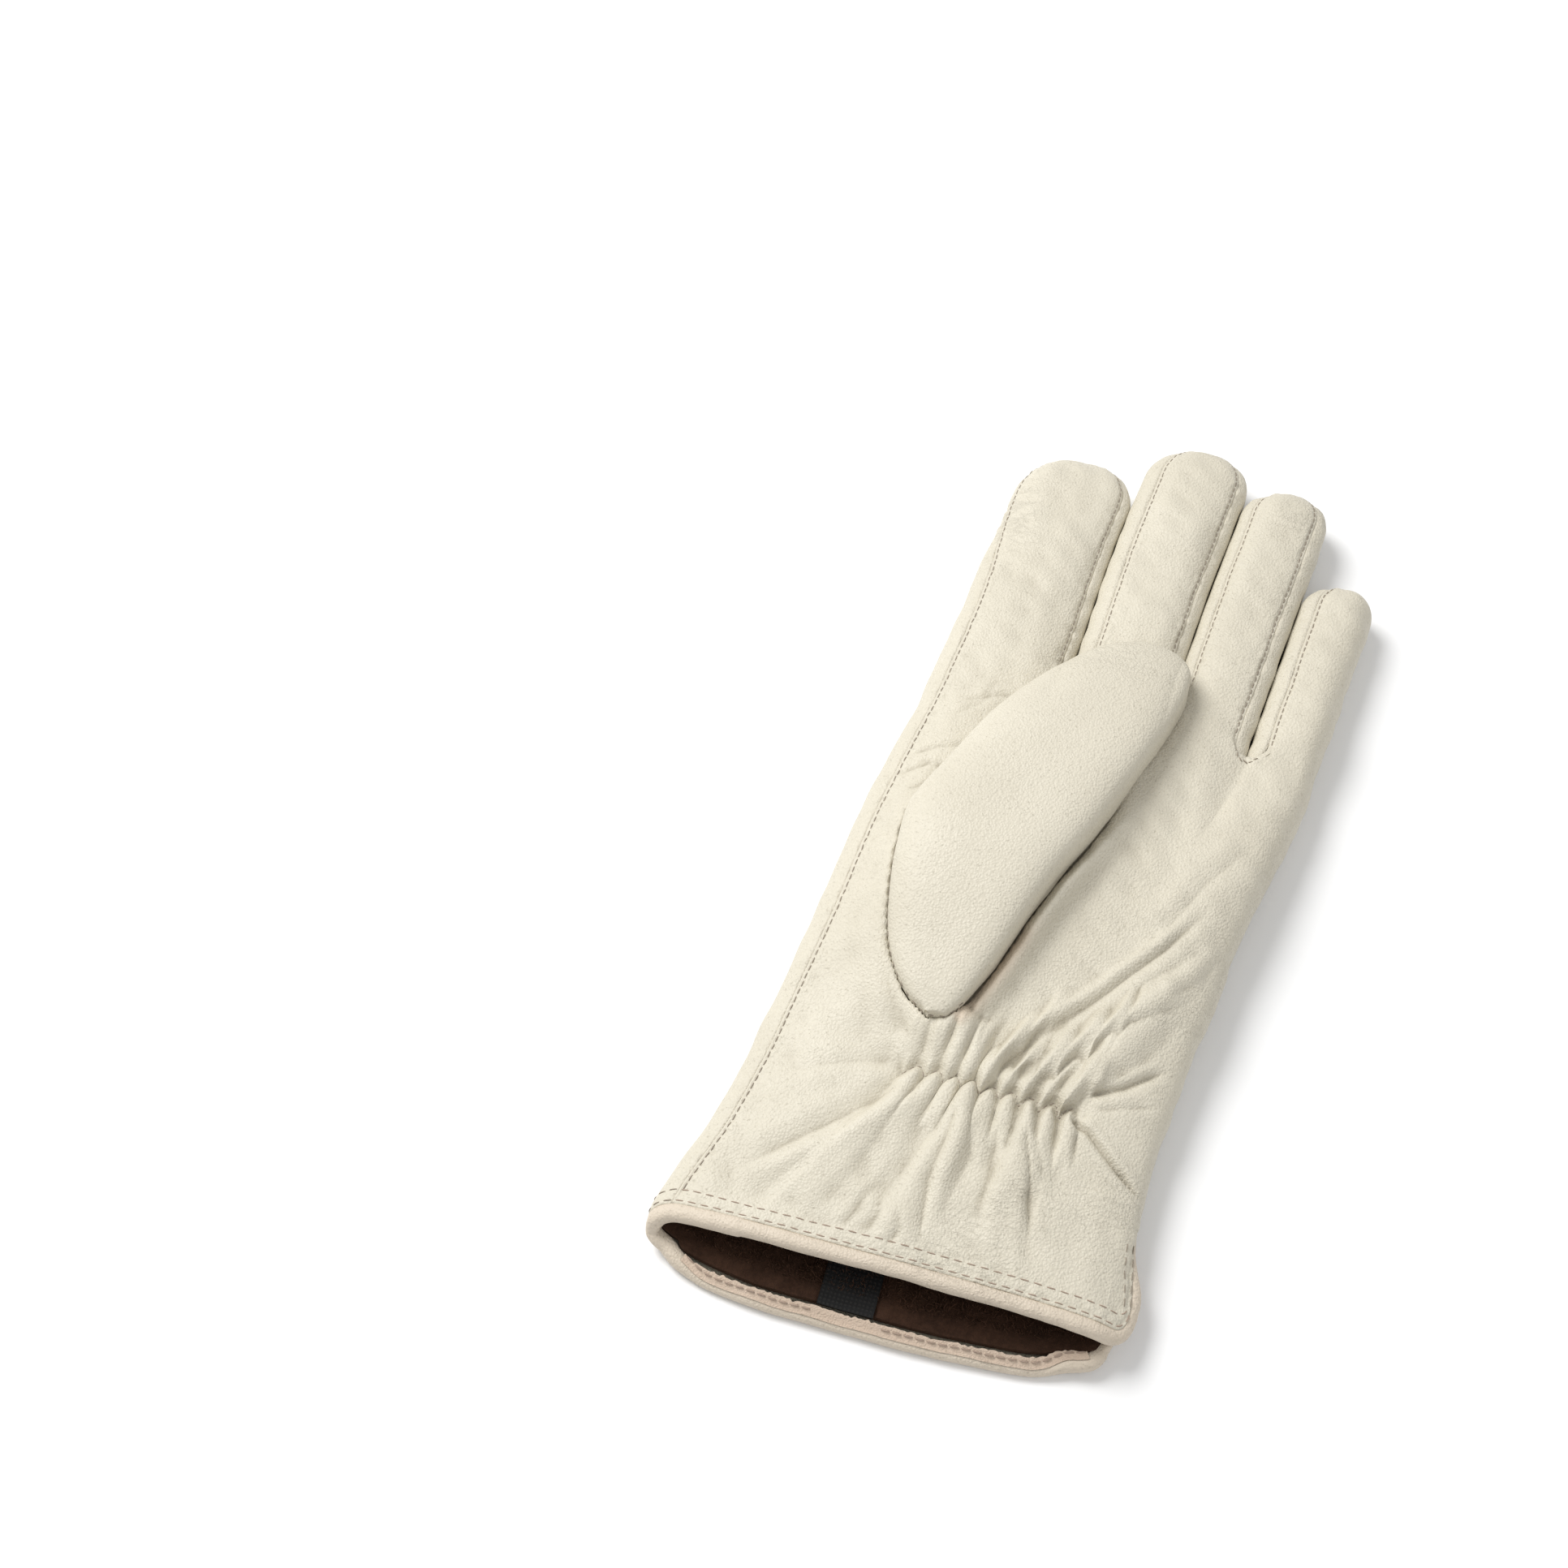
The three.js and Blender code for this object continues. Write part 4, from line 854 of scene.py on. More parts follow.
@dataclass(frozen=True)
class Crease:
    """A crease along corner points in plan, with the leather pushed up beside it by its swell."""

    path: tuple[tuple[float, float], ...]
    depth: float
    width: float = 0.7
    swell: float = 0.4

    def relief(self, points: Array) -> Array:
        """Works out what the crease does to a panel.

        Args:
            points: The panel's points.

        Returns:
            How far it moves each point out or in.
        """
        corners = np.array(self.path, float)
        lengths = np.linalg.norm(np.diff(corners, axis=0), axis=1)
        total = lengths.sum()
        best = np.full(len(points), 1e9)
        signed = np.zeros(len(points))
        along = np.zeros(len(points))
        done = 0.0
        for start, end, length in zip(corners[:-1], corners[1:], lengths):
            way = (end - start) / length
            local = points[:, :2] - start
            t = np.clip(local @ way, 0, length)
            gap = local - t[:, None] * way
            distance = np.linalg.norm(gap, axis=1)
            closer = distance < best
            side = np.sign(way[0] * local[:, 1] - way[1] * local[:, 0])
            best = np.where(closer, distance, best)
            signed = np.where(closer, side * distance, signed)
            along = np.where(closer, (done + t) / total, along)
            done += length
        fade = smooth(along / 0.12) * smooth((1 - along) / 0.35)
        valley = -self.depth * np.exp(-best / self.width)
        near = bell(signed - 2.6 * self.width, 2 * self.width)
        far = bell(signed + 3 * self.width, 2.2 * self.width)
        return (valley + self.swell * (near + 0.5 * far)) * fade


class Placing:
    """Turns the layout's millimetres into the row frame's metres."""

    def __init__(self, label: Label, layout: Layout) -> None:
        """Finds where the layout lies in the frame from the solid of the label, which both know."""
        low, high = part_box("label")
        middle = (np.array(low) + np.array(high)) / 2
        self.shift = middle - label.middle(layout) * METRES_PER_MM

    def metres(self, points: Array) -> Array:
        """Points of the layout in the row frame."""
        return np.asarray(points) * METRES_PER_MM + self.shift


def grid_normals(grid: Array) -> Array:
    """Finds the normals of a grid, each row running to the right of its columns' way.

    Args:
        grid: The grid of points.

    Returns:
        A normal for each.
    """
    across = np.gradient(grid, axis=1)
    along = np.gradient(grid, axis=0)
    return unit(np.cross(across, along))


def resample(path: Array, step: float) -> Array:
    """Spreads points evenly along a line.

    Args:
        path: The line's points, with any number of values each, of which the first three are the place.
        step: The distance to aim at.

    Returns:
        The new points.
    """
    lengths = np.linalg.norm(np.diff(path[:, :3], axis=0), axis=1)
    along = np.concatenate([[0], np.cumsum(lengths)])
    count = max(2, int(round(along[-1] / step)) + 1)
    places = np.linspace(0, along[-1], count)
    return np.stack([np.interp(places, along, path[:, k]) for k in range(path.shape[1])], axis=1)


def squarish(value: Array, power: float) -> Array:
    """A sine or cosine whose curve is nearer a square one, the smaller the power."""
    return np.sign(value) * np.abs(value) ** power


def circle(sides: int) -> Array:
    """So many angles round a circle."""
    return np.arange(sides) * TURN / sides


def crowded(even: Array) -> Array:
    """Moves even shares across a finger nearer to its sides, where the panel bends most."""
    return even - 0.4 * np.sin(TURN * even) / TURN


def nearest(places: Array, points: Array) -> tuple[Array, Array]:
    """Finds the nearest place to each point.

    Args:
        places: The places.
        points: The points.

    Returns:
        The number of each point's place, and how far away it is.
    """
    tree = KDTree(len(places))
    for number, place in enumerate(places):
        tree.insert(Vector(place), number)
    tree.balance()
    found = [tree.find(Vector(point))[1:] for point in points]
    return np.array([number for number, _ in found]), np.array([gap for _, gap in found])


class Piece:
    """A mesh that is gathered part by part and then made into one object."""

    def __init__(self, name: str) -> None:
        """Starts an empty piece with its name."""
        self.name = name
        self.points: list[Array] = []
        self.faces: list[list[int]] = []
        self.slots: list[int] = []
        self.marks: list[Array] = []
        self.count = 0

    def add(self, points: Array, faces: list | Array, slot: int = 0, marks: Array | None = None) -> None:
        """Adds points and the faces between them.

        Args:
            points: Places in millimetres.
            faces: Corner numbers of each face, counted from the first of these points.
            slot: Which of the piece's materials they take.
            marks: How deep in a seam and in a fold each point lies, from 0 to 1; the depth in a fold paints
                shade into the colour.
        """
        points = np.asarray(points, float).reshape(-1, 3)
        if isinstance(faces, np.ndarray):
            faces = (faces + self.count).tolist()
        else:
            faces = [[corner + self.count for corner in face] for face in faces]
        self.points.append(points)
        self.faces.extend(faces)
        self.slots.extend([slot] * len(faces))
        self.marks.append(np.zeros((len(points), 2)) if marks is None else marks)
        self.count += len(points)

    def add_grid(self, grid: Array, slot: int = 0, flipped: bool = False, joined: bool = False) -> None:
        """Adds a grid of points.

        Args:
            grid: Rows of points.
            slot: Which of the piece's materials it takes.
            flipped: Whether its faces look the other way.
            joined: Whether each row closes on itself.
        """
        rows, columns = grid.shape[:2]
        self.add(grid, grid_faces(np.arange(rows * columns).reshape(rows, columns), flipped, joined), slot)

    def cap(self, first: int, count: int, flipped: bool, slot: int = 0) -> None:
        """Closes a ring of points with one face.

        Args:
            first: The number of the ring's first point.
            count: How many points it has.
            flipped: Whether the face runs against their order.
            slot: Which of the piece's materials it takes.
        """
        corners = list(range(first, first + count))
        self.faces.append(corners[::-1] if flipped else corners)
        self.slots.append(slot)

    def make(self, placing: Placing, materials: list[bpy.types.Material], slot: Slot) -> None:
        """Makes the object, which rides on the frame and stands for the solid of its name.

        Args:
            placing: Where the layout lies.
            materials: The piece's materials.
            slot: The record's slot, which is not used.
        """
        mesh = bpy.data.meshes.new(self.name)
        points = placing.metres(np.concatenate(self.points))
        mesh.from_pydata(points.tolist(), [], self.faces)
        for material in materials:
            mesh.materials.append(material)
        mesh.polygons.foreach_set("material_index", self.slots)
        mesh.polygons.foreach_set("use_smooth", [True] * len(self.faces))
        marks = np.concatenate(self.marks)
        # The fold mark carries painted shade in the folds into the leather's colour.
        for column, name in enumerate(("seam", "fold")):
            mesh.attributes.new(name, "FLOAT", "POINT").data.foreach_set("value", marks[:, column])
        mesh.update()
        piece = bpy.data.objects.new(self.name, mesh)
        bpy.context.scene.collection.objects.link(piece)
        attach(piece, "root")
        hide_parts(self.name)
        LOG.info("%s: %d faces", self.name, len(self.faces))


def grid_faces(ids: Array, flipped: bool = False, joined: bool = False) -> Array:
    """Lays four-sided faces between the points of a grid.

    Args:
        ids: The points' numbers.
        flipped: Whether the faces look the other way.
        joined: Whether each row closes on itself.

    Returns:
        The corner numbers of each face.
    """
    if joined:
        ids = np.concatenate([ids, ids[:, :1]], axis=1)
    corners = [ids[:-1, :-1], ids[:-1, 1:], ids[1:, 1:], ids[1:, :-1]]
    if flipped:
        corners = corners[::-1]
    return np.stack(corners, axis=-1).reshape(-1, 4)


class Panel:
    """Grids of skin welded into one panel of leather, with rolled edges."""

    def __init__(self, name: str, grids: list[Array], flipped: bool) -> None:
        """Welds the grids.

        Args:
            name: The panel's name.
            grids: Grids of points that share exact points where they meet.
            flipped: Whether their faces look the other way.
        """
        self.name = name
        flat = np.concatenate([grid.reshape(-1, 3) for grid in grids])
        _, first, inverse = np.unique(np.round(flat, 4), axis=0, return_index=True, return_inverse=True)
        self.points = flat[first]
        ends = np.cumsum([grid[..., 0].size for grid in grids])
        parts = np.split(inverse.reshape(-1), ends[:-1])
        self.ids = [part.reshape(grid.shape[:2]) for part, grid in zip(parts, grids)]
        faces = np.concatenate([grid_faces(ids, flipped) for ids in self.ids])
        same = (faces[:, 0] == faces[:, 1]) | (faces[:, 2] == faces[:, 3])
        same |= (faces[:, 1] == faces[:, 2]) | (faces[:, 3] == faces[:, 0])
        self.faces = faces[~same]
        self.borders = self.border_edges()
        self.edge_distance = nearest(self.points[np.unique(self.borders)], self.points)[1]
        self.tint = np.zeros(len(self.points))

    def border_edges(self) -> Array:
        """Directed edges that only one face has.

        Returns:
            Two point numbers for each edge.
        """
        edges = np.concatenate([self.faces[:, [k, (k + 1) % 4]] for k in range(4)])
        size = len(self.points)
        keys = edges[:, 0] * size + edges[:, 1]
        back = edges[:, 1] * size + edges[:, 0]
        return edges[~np.isin(keys, back)]

    def normals(self, rounds: int = 0) -> Array:
        """Works out the normals of the points.

        Args:
            rounds: How often the panel is smoothed first.

        Returns:
            A normal for each point.
        """
        corners = self.evened(rounds)[self.faces]
        faces = np.cross(corners[:, 2] - corners[:, 0], corners[:, 3] - corners[:, 1])
        total = np.zeros_like(self.points)
        for k in range(4):
            np.add.at(total, self.faces[:, k], faces)
        return unit(total)

    def hollows(self) -> Array:
        """How deep each point lies in a fold, from 0 to 1, which the leather's colour darkens as painted
        shade.
        """
        depth = ((self.evened(6) - self.points) * self.normals()).sum(axis=-1)
        return np.clip((depth - 0.02) / 0.3, 0, 1) * smooth(self.edge_distance / 2)

    def evened(self, rounds: int) -> Array:
        """Smooths the panel without changing it.

        Args:
            rounds: How often.

        Returns:
            Where its points would lie.
        """
        size = len(self.points)
        shares = np.bincount(self.faces.ravel(), minlength=size)
        even = self.points
        for _ in range(rounds):
            middles = np.repeat(even[self.faces].mean(axis=1), 4, axis=0)
            sums = [np.bincount(self.faces.ravel(), middles[:, k], size) for k in range(3)]
            even = np.stack(sums, axis=1) / shares[:, None]
        return even

    def push(self, amount: Array) -> None:
        """Moves the points along their smoothed normals."""
        self.points = self.points + self.normals(3) * amount[:, None]

    def lap(self, over: bool, puckers: Ripples) -> None:
        """Shapes the leather along its seams.

        Args:
            over: Whether this panel laps over its neighbours, with its stitches near its edge.
            puckers: The small ripples that the stitches draw up.
        """
        d = self.edge_distance
        pulled = 0.14 * puckers.at(self.points) * bell(d - 1.4, 1.3)
        if over:
            self.push(0.12 * bell(d, 1.8) - 0.24 * bell(d - 0.85, 0.4) - 0.15 * np.exp(-d / 0.35) + pulled)
        else:
            self.push(-0.12 * bell(d, 0.8) + 0.1 * bell(d - 2, 1.2) + pulled)

    def line(self, grid: int, side: Side, inset: float) -> Array:
        """A line beside the first or last column of a grid, with its normals."""
        return self.inset_line(self.ids[grid][:, :: -int(side)], inset)

    def hem(self, inset: float) -> Array:
        """A line beside the first row of the hand's grid, with its normals."""
        return self.inset_line(self.ids[0].T, inset)

    def inset_line(self, ids: Array, inset: float) -> Array:
        """Finds a line beside the first column of a grid of the panel.

        Args:
            ids: The grid's point numbers.
            inset: How far in from that column.

        Returns:
            Points and normals, six values each.
        """
        normals = self.normals()
        reach = ids[:, : min(ids.shape[1], 40)]
        places = self.points[reach]
        gaps = np.linalg.norm(np.diff(places, axis=1), axis=2)
        along = np.concatenate([np.zeros((len(gaps), 1)), np.cumsum(gaps, axis=1)], axis=1)
        found = []
        for row, way in enumerate(along):
            values = np.concatenate([places[row], normals[reach[row]]], axis=1)
            if way[-1] < inset * 1.5:
                continue
            found.append([np.interp(inset, way, values[:, k]) for k in range(6)])
        return np.array(found)

    def piece(self, thickness: float) -> Piece:
        """The panel with its edges rolled in.

        Args:
            thickness: How deep the rolled edge goes.

        Returns:
            The piece, not yet an object.
        """
        normals = self.normals()
        count = len(self.points)
        inward = np.zeros_like(self.points)
        ways = unit(self.points[self.borders[:, 1]] - self.points[self.borders[:, 0]])
        for k in range(2):
            np.add.at(inward, self.borders[:, k], ways)
        inward = unit(np.cross(normals, inward))
        rim = np.unique(self.borders)
        number = np.full(count, -1)
        number[rim] = np.arange(len(rim))
        points = [self.points]
        faces = [self.faces]
        previous = rim
        for depth, draw in ((0.25, -0.06), (0.6, 0), (1, 0.25)):
            ring = self.points[rim] - normals[rim] * thickness * depth + inward[rim] * draw
            current = np.arange(len(rim)) + sum(len(part) for part in points)
            a, b = number[self.borders[:, 0]], number[self.borders[:, 1]]
            faces.append(np.stack([previous[b], previous[a], current[a], current[b]], axis=1))
            points.append(ring)
            previous = current
        piece = Piece(self.name)
        seams = np.maximum(0.12 * np.exp(-self.edge_distance / 0.3), self.tint)
        seams = np.concatenate([seams] + [np.full(len(rim), 0.25)] * 3)
        # The depth in folds, which the leather's colour darkens as painted shade.
        folds = np.concatenate([self.hollows(), np.zeros(3 * len(rim))])
        piece.add(np.concatenate(points), np.concatenate(faces), 0, np.stack([seams, folds], axis=1))
        return piece


@dataclass(frozen=True)
class Thread:
    """Machine stitches of sewing thread, each a round bar whose ends dip into the leather."""

    length: float
    gap: float
    radius: float = 0.12
    sides: int = 6
    step: float = 0.25
    stitch: Table = table(
        "along girth rise",
        (0, 0.35, -0.1),
        (0.12, 0.9, 0.03),
        (0.35, 1, 0.09),
        (0.65, 1, 0.09),
        (0.88, 0.9, 0.03),
        (1, 0.35, -0.1),
    )

    def sew(self, piece: Piece, path: Array, slot: int, slant: float = 0.0) -> None:
        """Adds a row of stitches to a piece.

        Args:
            piece: The piece that they belong to.
            path: Points and normals of the row.
            slot: Which of the piece's materials they take.
            slant: How far each stitch leans across the row, in millimetres.
        """
        even = resample(path, self.step)
        pitch = self.length + self.gap
        shares, girths, rises = np.array(self.stitch.rows).T
        angles = circle(self.sides)
        for number in range(int((len(even) - 1) * self.step / pitch)):
            start = number * pitch + self.gap / 2
            places = (start + shares * self.length) / self.step
            numbers = np.arange(len(even))
            values = np.stack([np.interp(places, numbers, even[:, k]) for k in range(6)], axis=1)
            centre, normal = values[:, :3], unit(values[:, 3:])
            way = unit(np.gradient(centre, axis=0))
            side = unit(np.cross(way, normal))
            centre = centre + normal * rises[:, None] + side * ((shares - 0.5) * slant)[:, None]
            girth = (self.radius * girths)[:, None, None]
            flat, up = 1.15 * np.cos(angles)[:, None], np.sin(angles)[:, None]
            ring = centre[:, None] + girth * (flat * side[:, None] + up * normal[:, None])
            piece.add_grid(ring, slot, joined=True)
            piece.cap(piece.count - len(shares) * self.sides, self.sides, True, slot)
            piece.cap(piece.count - self.sides, self.sides, False, slot)


# Where the Mix node keeps its colour sockets.
MIX_FACTOR, MIX_COLOURS, MIX_RESULT = 0, (6, 7), 2


class Value:
    """One output of a material's node, with arithmetic that makes more nodes."""

    def __init__(self, shader: Shader, socket: bpy.types.NodeSocket) -> None:
        """Wraps a socket of a shader."""
        self.shader = shader
        self.socket = socket

    def math(self, operation: str, other: Value | float | None = None, turned: bool = False) -> Value:
        """Does one sum with this value.

        Args:
            operation: The sum's name.
            other: The second value.
            turned: Whether the second value comes first.

        Returns:
            The result.
        """
        values = [self, other] if other is not None else [self]
        if turned:
            values.reverse()
        return self.shader.node("ShaderNodeMath", {"operation": operation}, dict(enumerate(values)))

    def __add__(self, other: Value | float) -> Value:
        """Adds."""
        return self.math("ADD", other)

    def __radd__(self, other: float) -> Value:
        """Adds to a number."""
        return self.math("ADD", other)

    def __sub__(self, other: Value | float) -> Value:
        """Subtracts."""
        return self.math("SUBTRACT", other)

    def __rsub__(self, other: float) -> Value:
        """Subtracts from a number."""
        return self.math("SUBTRACT", other, turned=True)

    def __mul__(self, other: Value | float) -> Value:
        """Multiplies."""
        return self.math("MULTIPLY", other)

    def __rmul__(self, other: float) -> Value:
        """Multiplies a number."""
        return self.math("MULTIPLY", other)

    def __pow__(self, other: Value | float) -> Value:
        """Raises to a power."""
        return self.math("POWER", other)

    def clamp(self) -> Value:
        """Keeps the value from 0 to 1."""
        return self.math("MAXIMUM", 0.0).math("MINIMUM", 1.0)


class Shader:
    """A material's nodes."""

    def __init__(self, name: str) -> None:
        """Starts a material with a Principled shader."""
        self.material = bpy.data.materials.new(name)
        self.material.use_nodes = True
        self.tree = self.material.node_tree
        self.surface = next(node for node in self.tree.nodes if node.type == "BSDF_PRINCIPLED")
        self.place = self.node("ShaderNodeTexCoord", {}, {}, "Object")

    def node(
        self, kind: str, settings: dict[str, object], sockets: dict[str | int, object], output: str | int = 0
    ) -> Value:
        """Adds a node.

        Args:
            kind: Its type.
            settings: Its properties.
            sockets: What its inputs hold or are linked to.
            output: The output that is wanted.

        Returns:
            That output.
        """
        node = self.tree.nodes.new(kind)
        for name, value in settings.items():
            setattr(node, name, value)
        self.fill(node, sockets)
        return Value(self, node.outputs[output])

    def noise(self, scale: float, detail: float, roughness: float, where: Value | None = None) -> Value:
        """Adds noise.

        Args:
            scale: Its cells to a metre.
            detail: How many finer layers it has.
            roughness: How strong they are.
            where: The place that it is read at, if not the piece's own.

        Returns:
            The noise.
        """
        sockets = {"Vector": where or self.place, "Scale": scale, "Detail": detail, "Roughness": roughness}
        return self.node("ShaderNodeTexNoise", {}, sockets)

    def stretched(self, scale: Vector, turn: float) -> Value:
        """The place, turned in plan and stretched."""
        sockets = {"Vector": self.place, "Scale": scale, "Rotation": (0, 0, turn)}
        return self.node("ShaderNodeMapping", {}, sockets)

    def cells(self, scale: float, bend: float) -> Value:
        """Adds round domes of random cells, as the grain of leather.

        Args:
            scale: How many there are to a metre.
            bend: How far noise bends them.

        Returns:
            The height of the domes.
        """
        sockets = {"Vector": self.place, "Scale": scale * 0.4, "Detail": 2.0}
        drift = self.node("ShaderNodeTexNoise", {}, sockets, "Color")
        sockets = {0: drift, 1: (bend, bend, bend), 2: self.place}
        where = self.node("ShaderNodeVectorMath", {"operation": "MULTIPLY_ADD"}, sockets)
        sockets = {"Vector": where, "Scale": scale, "Smoothness": 0.35}
        return 1 - self.node("ShaderNodeTexVoronoi", {"feature": "SMOOTH_F1"}, sockets) * 1.25

    def attribute(self, name: str) -> Value:
        """A number that the mesh holds at each point."""
        return self.node("ShaderNodeAttribute", {"attribute_name": name}, {}, "Fac")

    def blend(self, share: Value, first: object, second: object) -> Value:
        """Mixes two colours by a share."""
        sockets = {MIX_FACTOR: share, MIX_COLOURS[0]: first, MIX_COLOURS[1]: second}
        return self.node("ShaderNodeMix", {"data_type": "RGBA"}, sockets, MIX_RESULT)

    def bump(self, height: Value, strength: float, distance: float) -> None:
        """Feeds a relief in metres to the surface's normal."""
        sockets = {"Height": height, "Strength": strength, "Distance": distance}
        self.feed({"Normal": self.node("ShaderNodeBump", {}, sockets)})

    def feed(self, sockets: dict[str, object]) -> None:
        """Sets or links inputs of the surface."""
        self.fill(self.surface, sockets)

    def fill(self, node: bpy.types.Node, sockets: dict[str | int, object]) -> None:
        """Sets or links inputs of a node.

        Args:
            node: The node.
            sockets: What its inputs hold or are linked to.
        """
        for name, value in sockets.items():
            if isinstance(value, Value):
                self.tree.links.new(value.socket, node.inputs[name])
            else:
                node.inputs[name].default_value = value


@dataclass(frozen=True)
class LeatherFinish:
    """Grained faux leather: its colours in the open, in mottles and in seams, the dark of its pores, which
    is also painted as shade into folds, grain hollows and wrinkle lines, and its grain.

    Attributes:
        grain: Grain cells to a metre.
        bend: How far the cells are bent, in metres.
    """

    name: str
    light: Colour = (0.665, 0.62, 0.511, 1)
    shade: Colour = (0.593, 0.548, 0.442, 1)
    seam: Colour = (0.58, 0.455, 0.34, 1)
    # The dark of the pores, also used as painted shade in folds, grain hollows and wrinkle lines.
    fold: Colour = (0.28, 0.24, 0.165, 1)
    grain: float = 1750
    bend: float = 0.0007
    roughness: float = 0.52
    bump_height: float = 0.0003

    def make(self) -> bpy.types.Material:
        """Builds the material.

        Returns:
            The material.
        """
        shader = Shader(self.name)
        mottle = shader.noise(42, 4, 0.6)
        fine = shader.noise(700, 3, 0.65)
        drift = shader.noise(30, 2, 0.5)
        pebble = shader.cells(self.grain, self.bend).clamp()
        folded = shader.attribute("fold")
        wrinkle = shader.noise(150, 5, 0.62, shader.stretched(Vector((1, 2.2, 1)), 0.5))
        lines = 1 - ((wrinkle - 0.5).math("ABSOLUTE") * 22).clamp()
        crinkle = lines * ((drift - 0.56) * 5 + folded * 0.5).clamp()
        colour = shader.blend((mottle * 1.1 - 0.35 + (fine - 0.5) * 0.4).clamp(), self.light, self.shade)
        # Painted shade: the fold colour laid into the hollows between the grain's domes and along the
        # wrinkle lines.
        hollow_and_wrinkle_shade = ((1 - pebble) * (mottle * 0.16 + 0.06) - 0.05 + crinkle * 0.05).clamp()
        colour = shader.blend(hollow_and_wrinkle_shade, colour, self.fold)
        pores = ((shader.noise(1500, 2, 0.5) - 0.62) * 9).clamp() * 0.28
        colour = shader.blend(pores, colour, self.fold)
        colour = shader.blend((shader.attribute("seam") * 0.85).clamp() ** 1.2, colour, self.seam)
        # Painted shade: the fold mark darkens the colour in the panels' folds.
        colour = shader.blend((folded * 0.62).clamp() ** 1.2, colour, self.fold)
        roughness = (mottle * 0.14 + fine * 0.14 + self.roughness - 0.14).clamp()
        shader.feed({"Base Color": colour, "Roughness": roughness, "Specular IOR Level": 0.4})
        depth = (drift * 1.6 - 0.2).clamp() * 0.5 + 0.42
        shader.bump(pebble * depth + fine * 0.4 - crinkle * 0.7 - pores, 0.62, self.bump_height)
        return shader.material


@dataclass(frozen=True)
class ThreadFinish:
    """Twisted sewing thread."""

    name: str
    colour: Colour

    def make(self) -> bpy.types.Material:
        """Builds the material.

        Returns:
            The material.
        """
        shader = Shader(self.name)
        twist = shader.noise(2400, 2, 0.6)
        dark = tuple(channel * 0.6 for channel in self.colour[:3]) + (1,)
        colour = shader.blend(twist, dark, self.colour)
        shader.feed({"Base Color": colour, "Roughness": (twist * 0.2 + 0.6).clamp()})
        shader.bump(twist, 0.5, 0.0001)
        return shader.material


@dataclass(frozen=True)
class PileFinish:
    """Short dense pile."""

    name: str
    dark: Colour = (0.02, 0.009, 0.005, 1)
    light: Colour = (0.105, 0.052, 0.031, 1)
    sheen: Colour = (0.5, 0.3, 0.2, 1)

    def make(self) -> bpy.types.Material:
        """Builds the material.

        Returns:
            The material.
        """
        shader = Shader(self.name)
        tufts = shader.noise(900, 4, 0.7)
        drift = shader.noise(120, 3, 0.6)
        # On the pile the seam value is each fibre's share from foot to tip, so the pile grows lighter
        # towards the tips.
        share = (tufts * 0.7 + drift * 0.5 - 0.4 + shader.attribute("seam") * 0.7).clamp()
        colour = shader.blend(share, self.dark, self.light)
        shader.feed({"Base Color": colour, "Roughness": (tufts * 0.1 + 0.88).clamp()})
        shader.feed({"Specular IOR Level": 0.15, "Sheen Weight": 0.25, "Sheen Tint": self.sheen})
        shader.bump(tufts, 0.9, 0.0006)
        return shader.material


@dataclass(frozen=True)
class WeaveFinish:
    """A plain woven tape."""

    name: str
    dark: Colour = (0.006, 0.006, 0.006, 1)
    light: Colour = (0.022, 0.021, 0.020, 1)
    threads: float = 2200

    def make(self) -> bpy.types.Material:
        """Builds the material.

        Returns:
            The material.
        """
        shader = Shader(self.name)
        sockets = {"Vector": shader.place, "Scale": self.threads / 6.3, "Distortion": 0.4, "Detail": 1.0}
        across, along = [
            shader.node("ShaderNodeTexWave", {"bands_direction": way}, sockets, "Fac") for way in ("X", "Y")
        ]
        weave = (across * along).clamp()
        colour = shader.blend(weave, self.dark, self.light)
        roughness = (weave * 0.2 + 0.7).clamp()
        shader.feed({"Base Color": colour, "Roughness": roughness, "Specular IOR Level": 0.2})
        shader.bump(weave, 0.6, 0.00015)
        return shader.material


class Finishes:
    """The materials of the glove."""

    def __init__(self) -> None:
        """Builds them all."""
        self.cream = LeatherFinish("cream faux leather").make()
        self.pink = LeatherFinish(
            "rolled hem leather",
            light=(0.66, 0.575, 0.465, 1),
            shade=(0.60, 0.515, 0.41, 1),
            seam=(0.55, 0.42, 0.32, 1),
            grain=1900,
            roughness=0.55,
        ).make()
        self.raw = LeatherFinish(
            "raw leather edge",
            light=(0.62, 0.50, 0.395, 1),
            shade=(0.50, 0.37, 0.28, 1),
            seam=(0.42, 0.27, 0.19, 1),
            grain=2400,
            roughness=0.85,
        ).make()
        self.taupe = ThreadFinish("taupe thread", (0.36, 0.30, 0.235, 1)).make()
        self.rose = ThreadFinish("rose brown thread", (0.46, 0.345, 0.27, 1)).make()
        self.pile = PileFinish("brown pile").make()
        self.weave = WeaveFinish("black woven tape").make()
        self.hole = ThreadFinish("slit edge", (0.34, 0.17, 0.11, 1)).make()


@dataclass
class Part:
    """One sub-assembly: the layout that it follows, where that lies and what it is made of."""

    layout: Layout
    placing: Placing
    finishes: Finishes

    def finish(self, piece: Piece, slot: Slot, *materials: bpy.types.Material) -> None:
        """Makes a piece's object."""
        piece.make(self.placing, list(materials), slot)


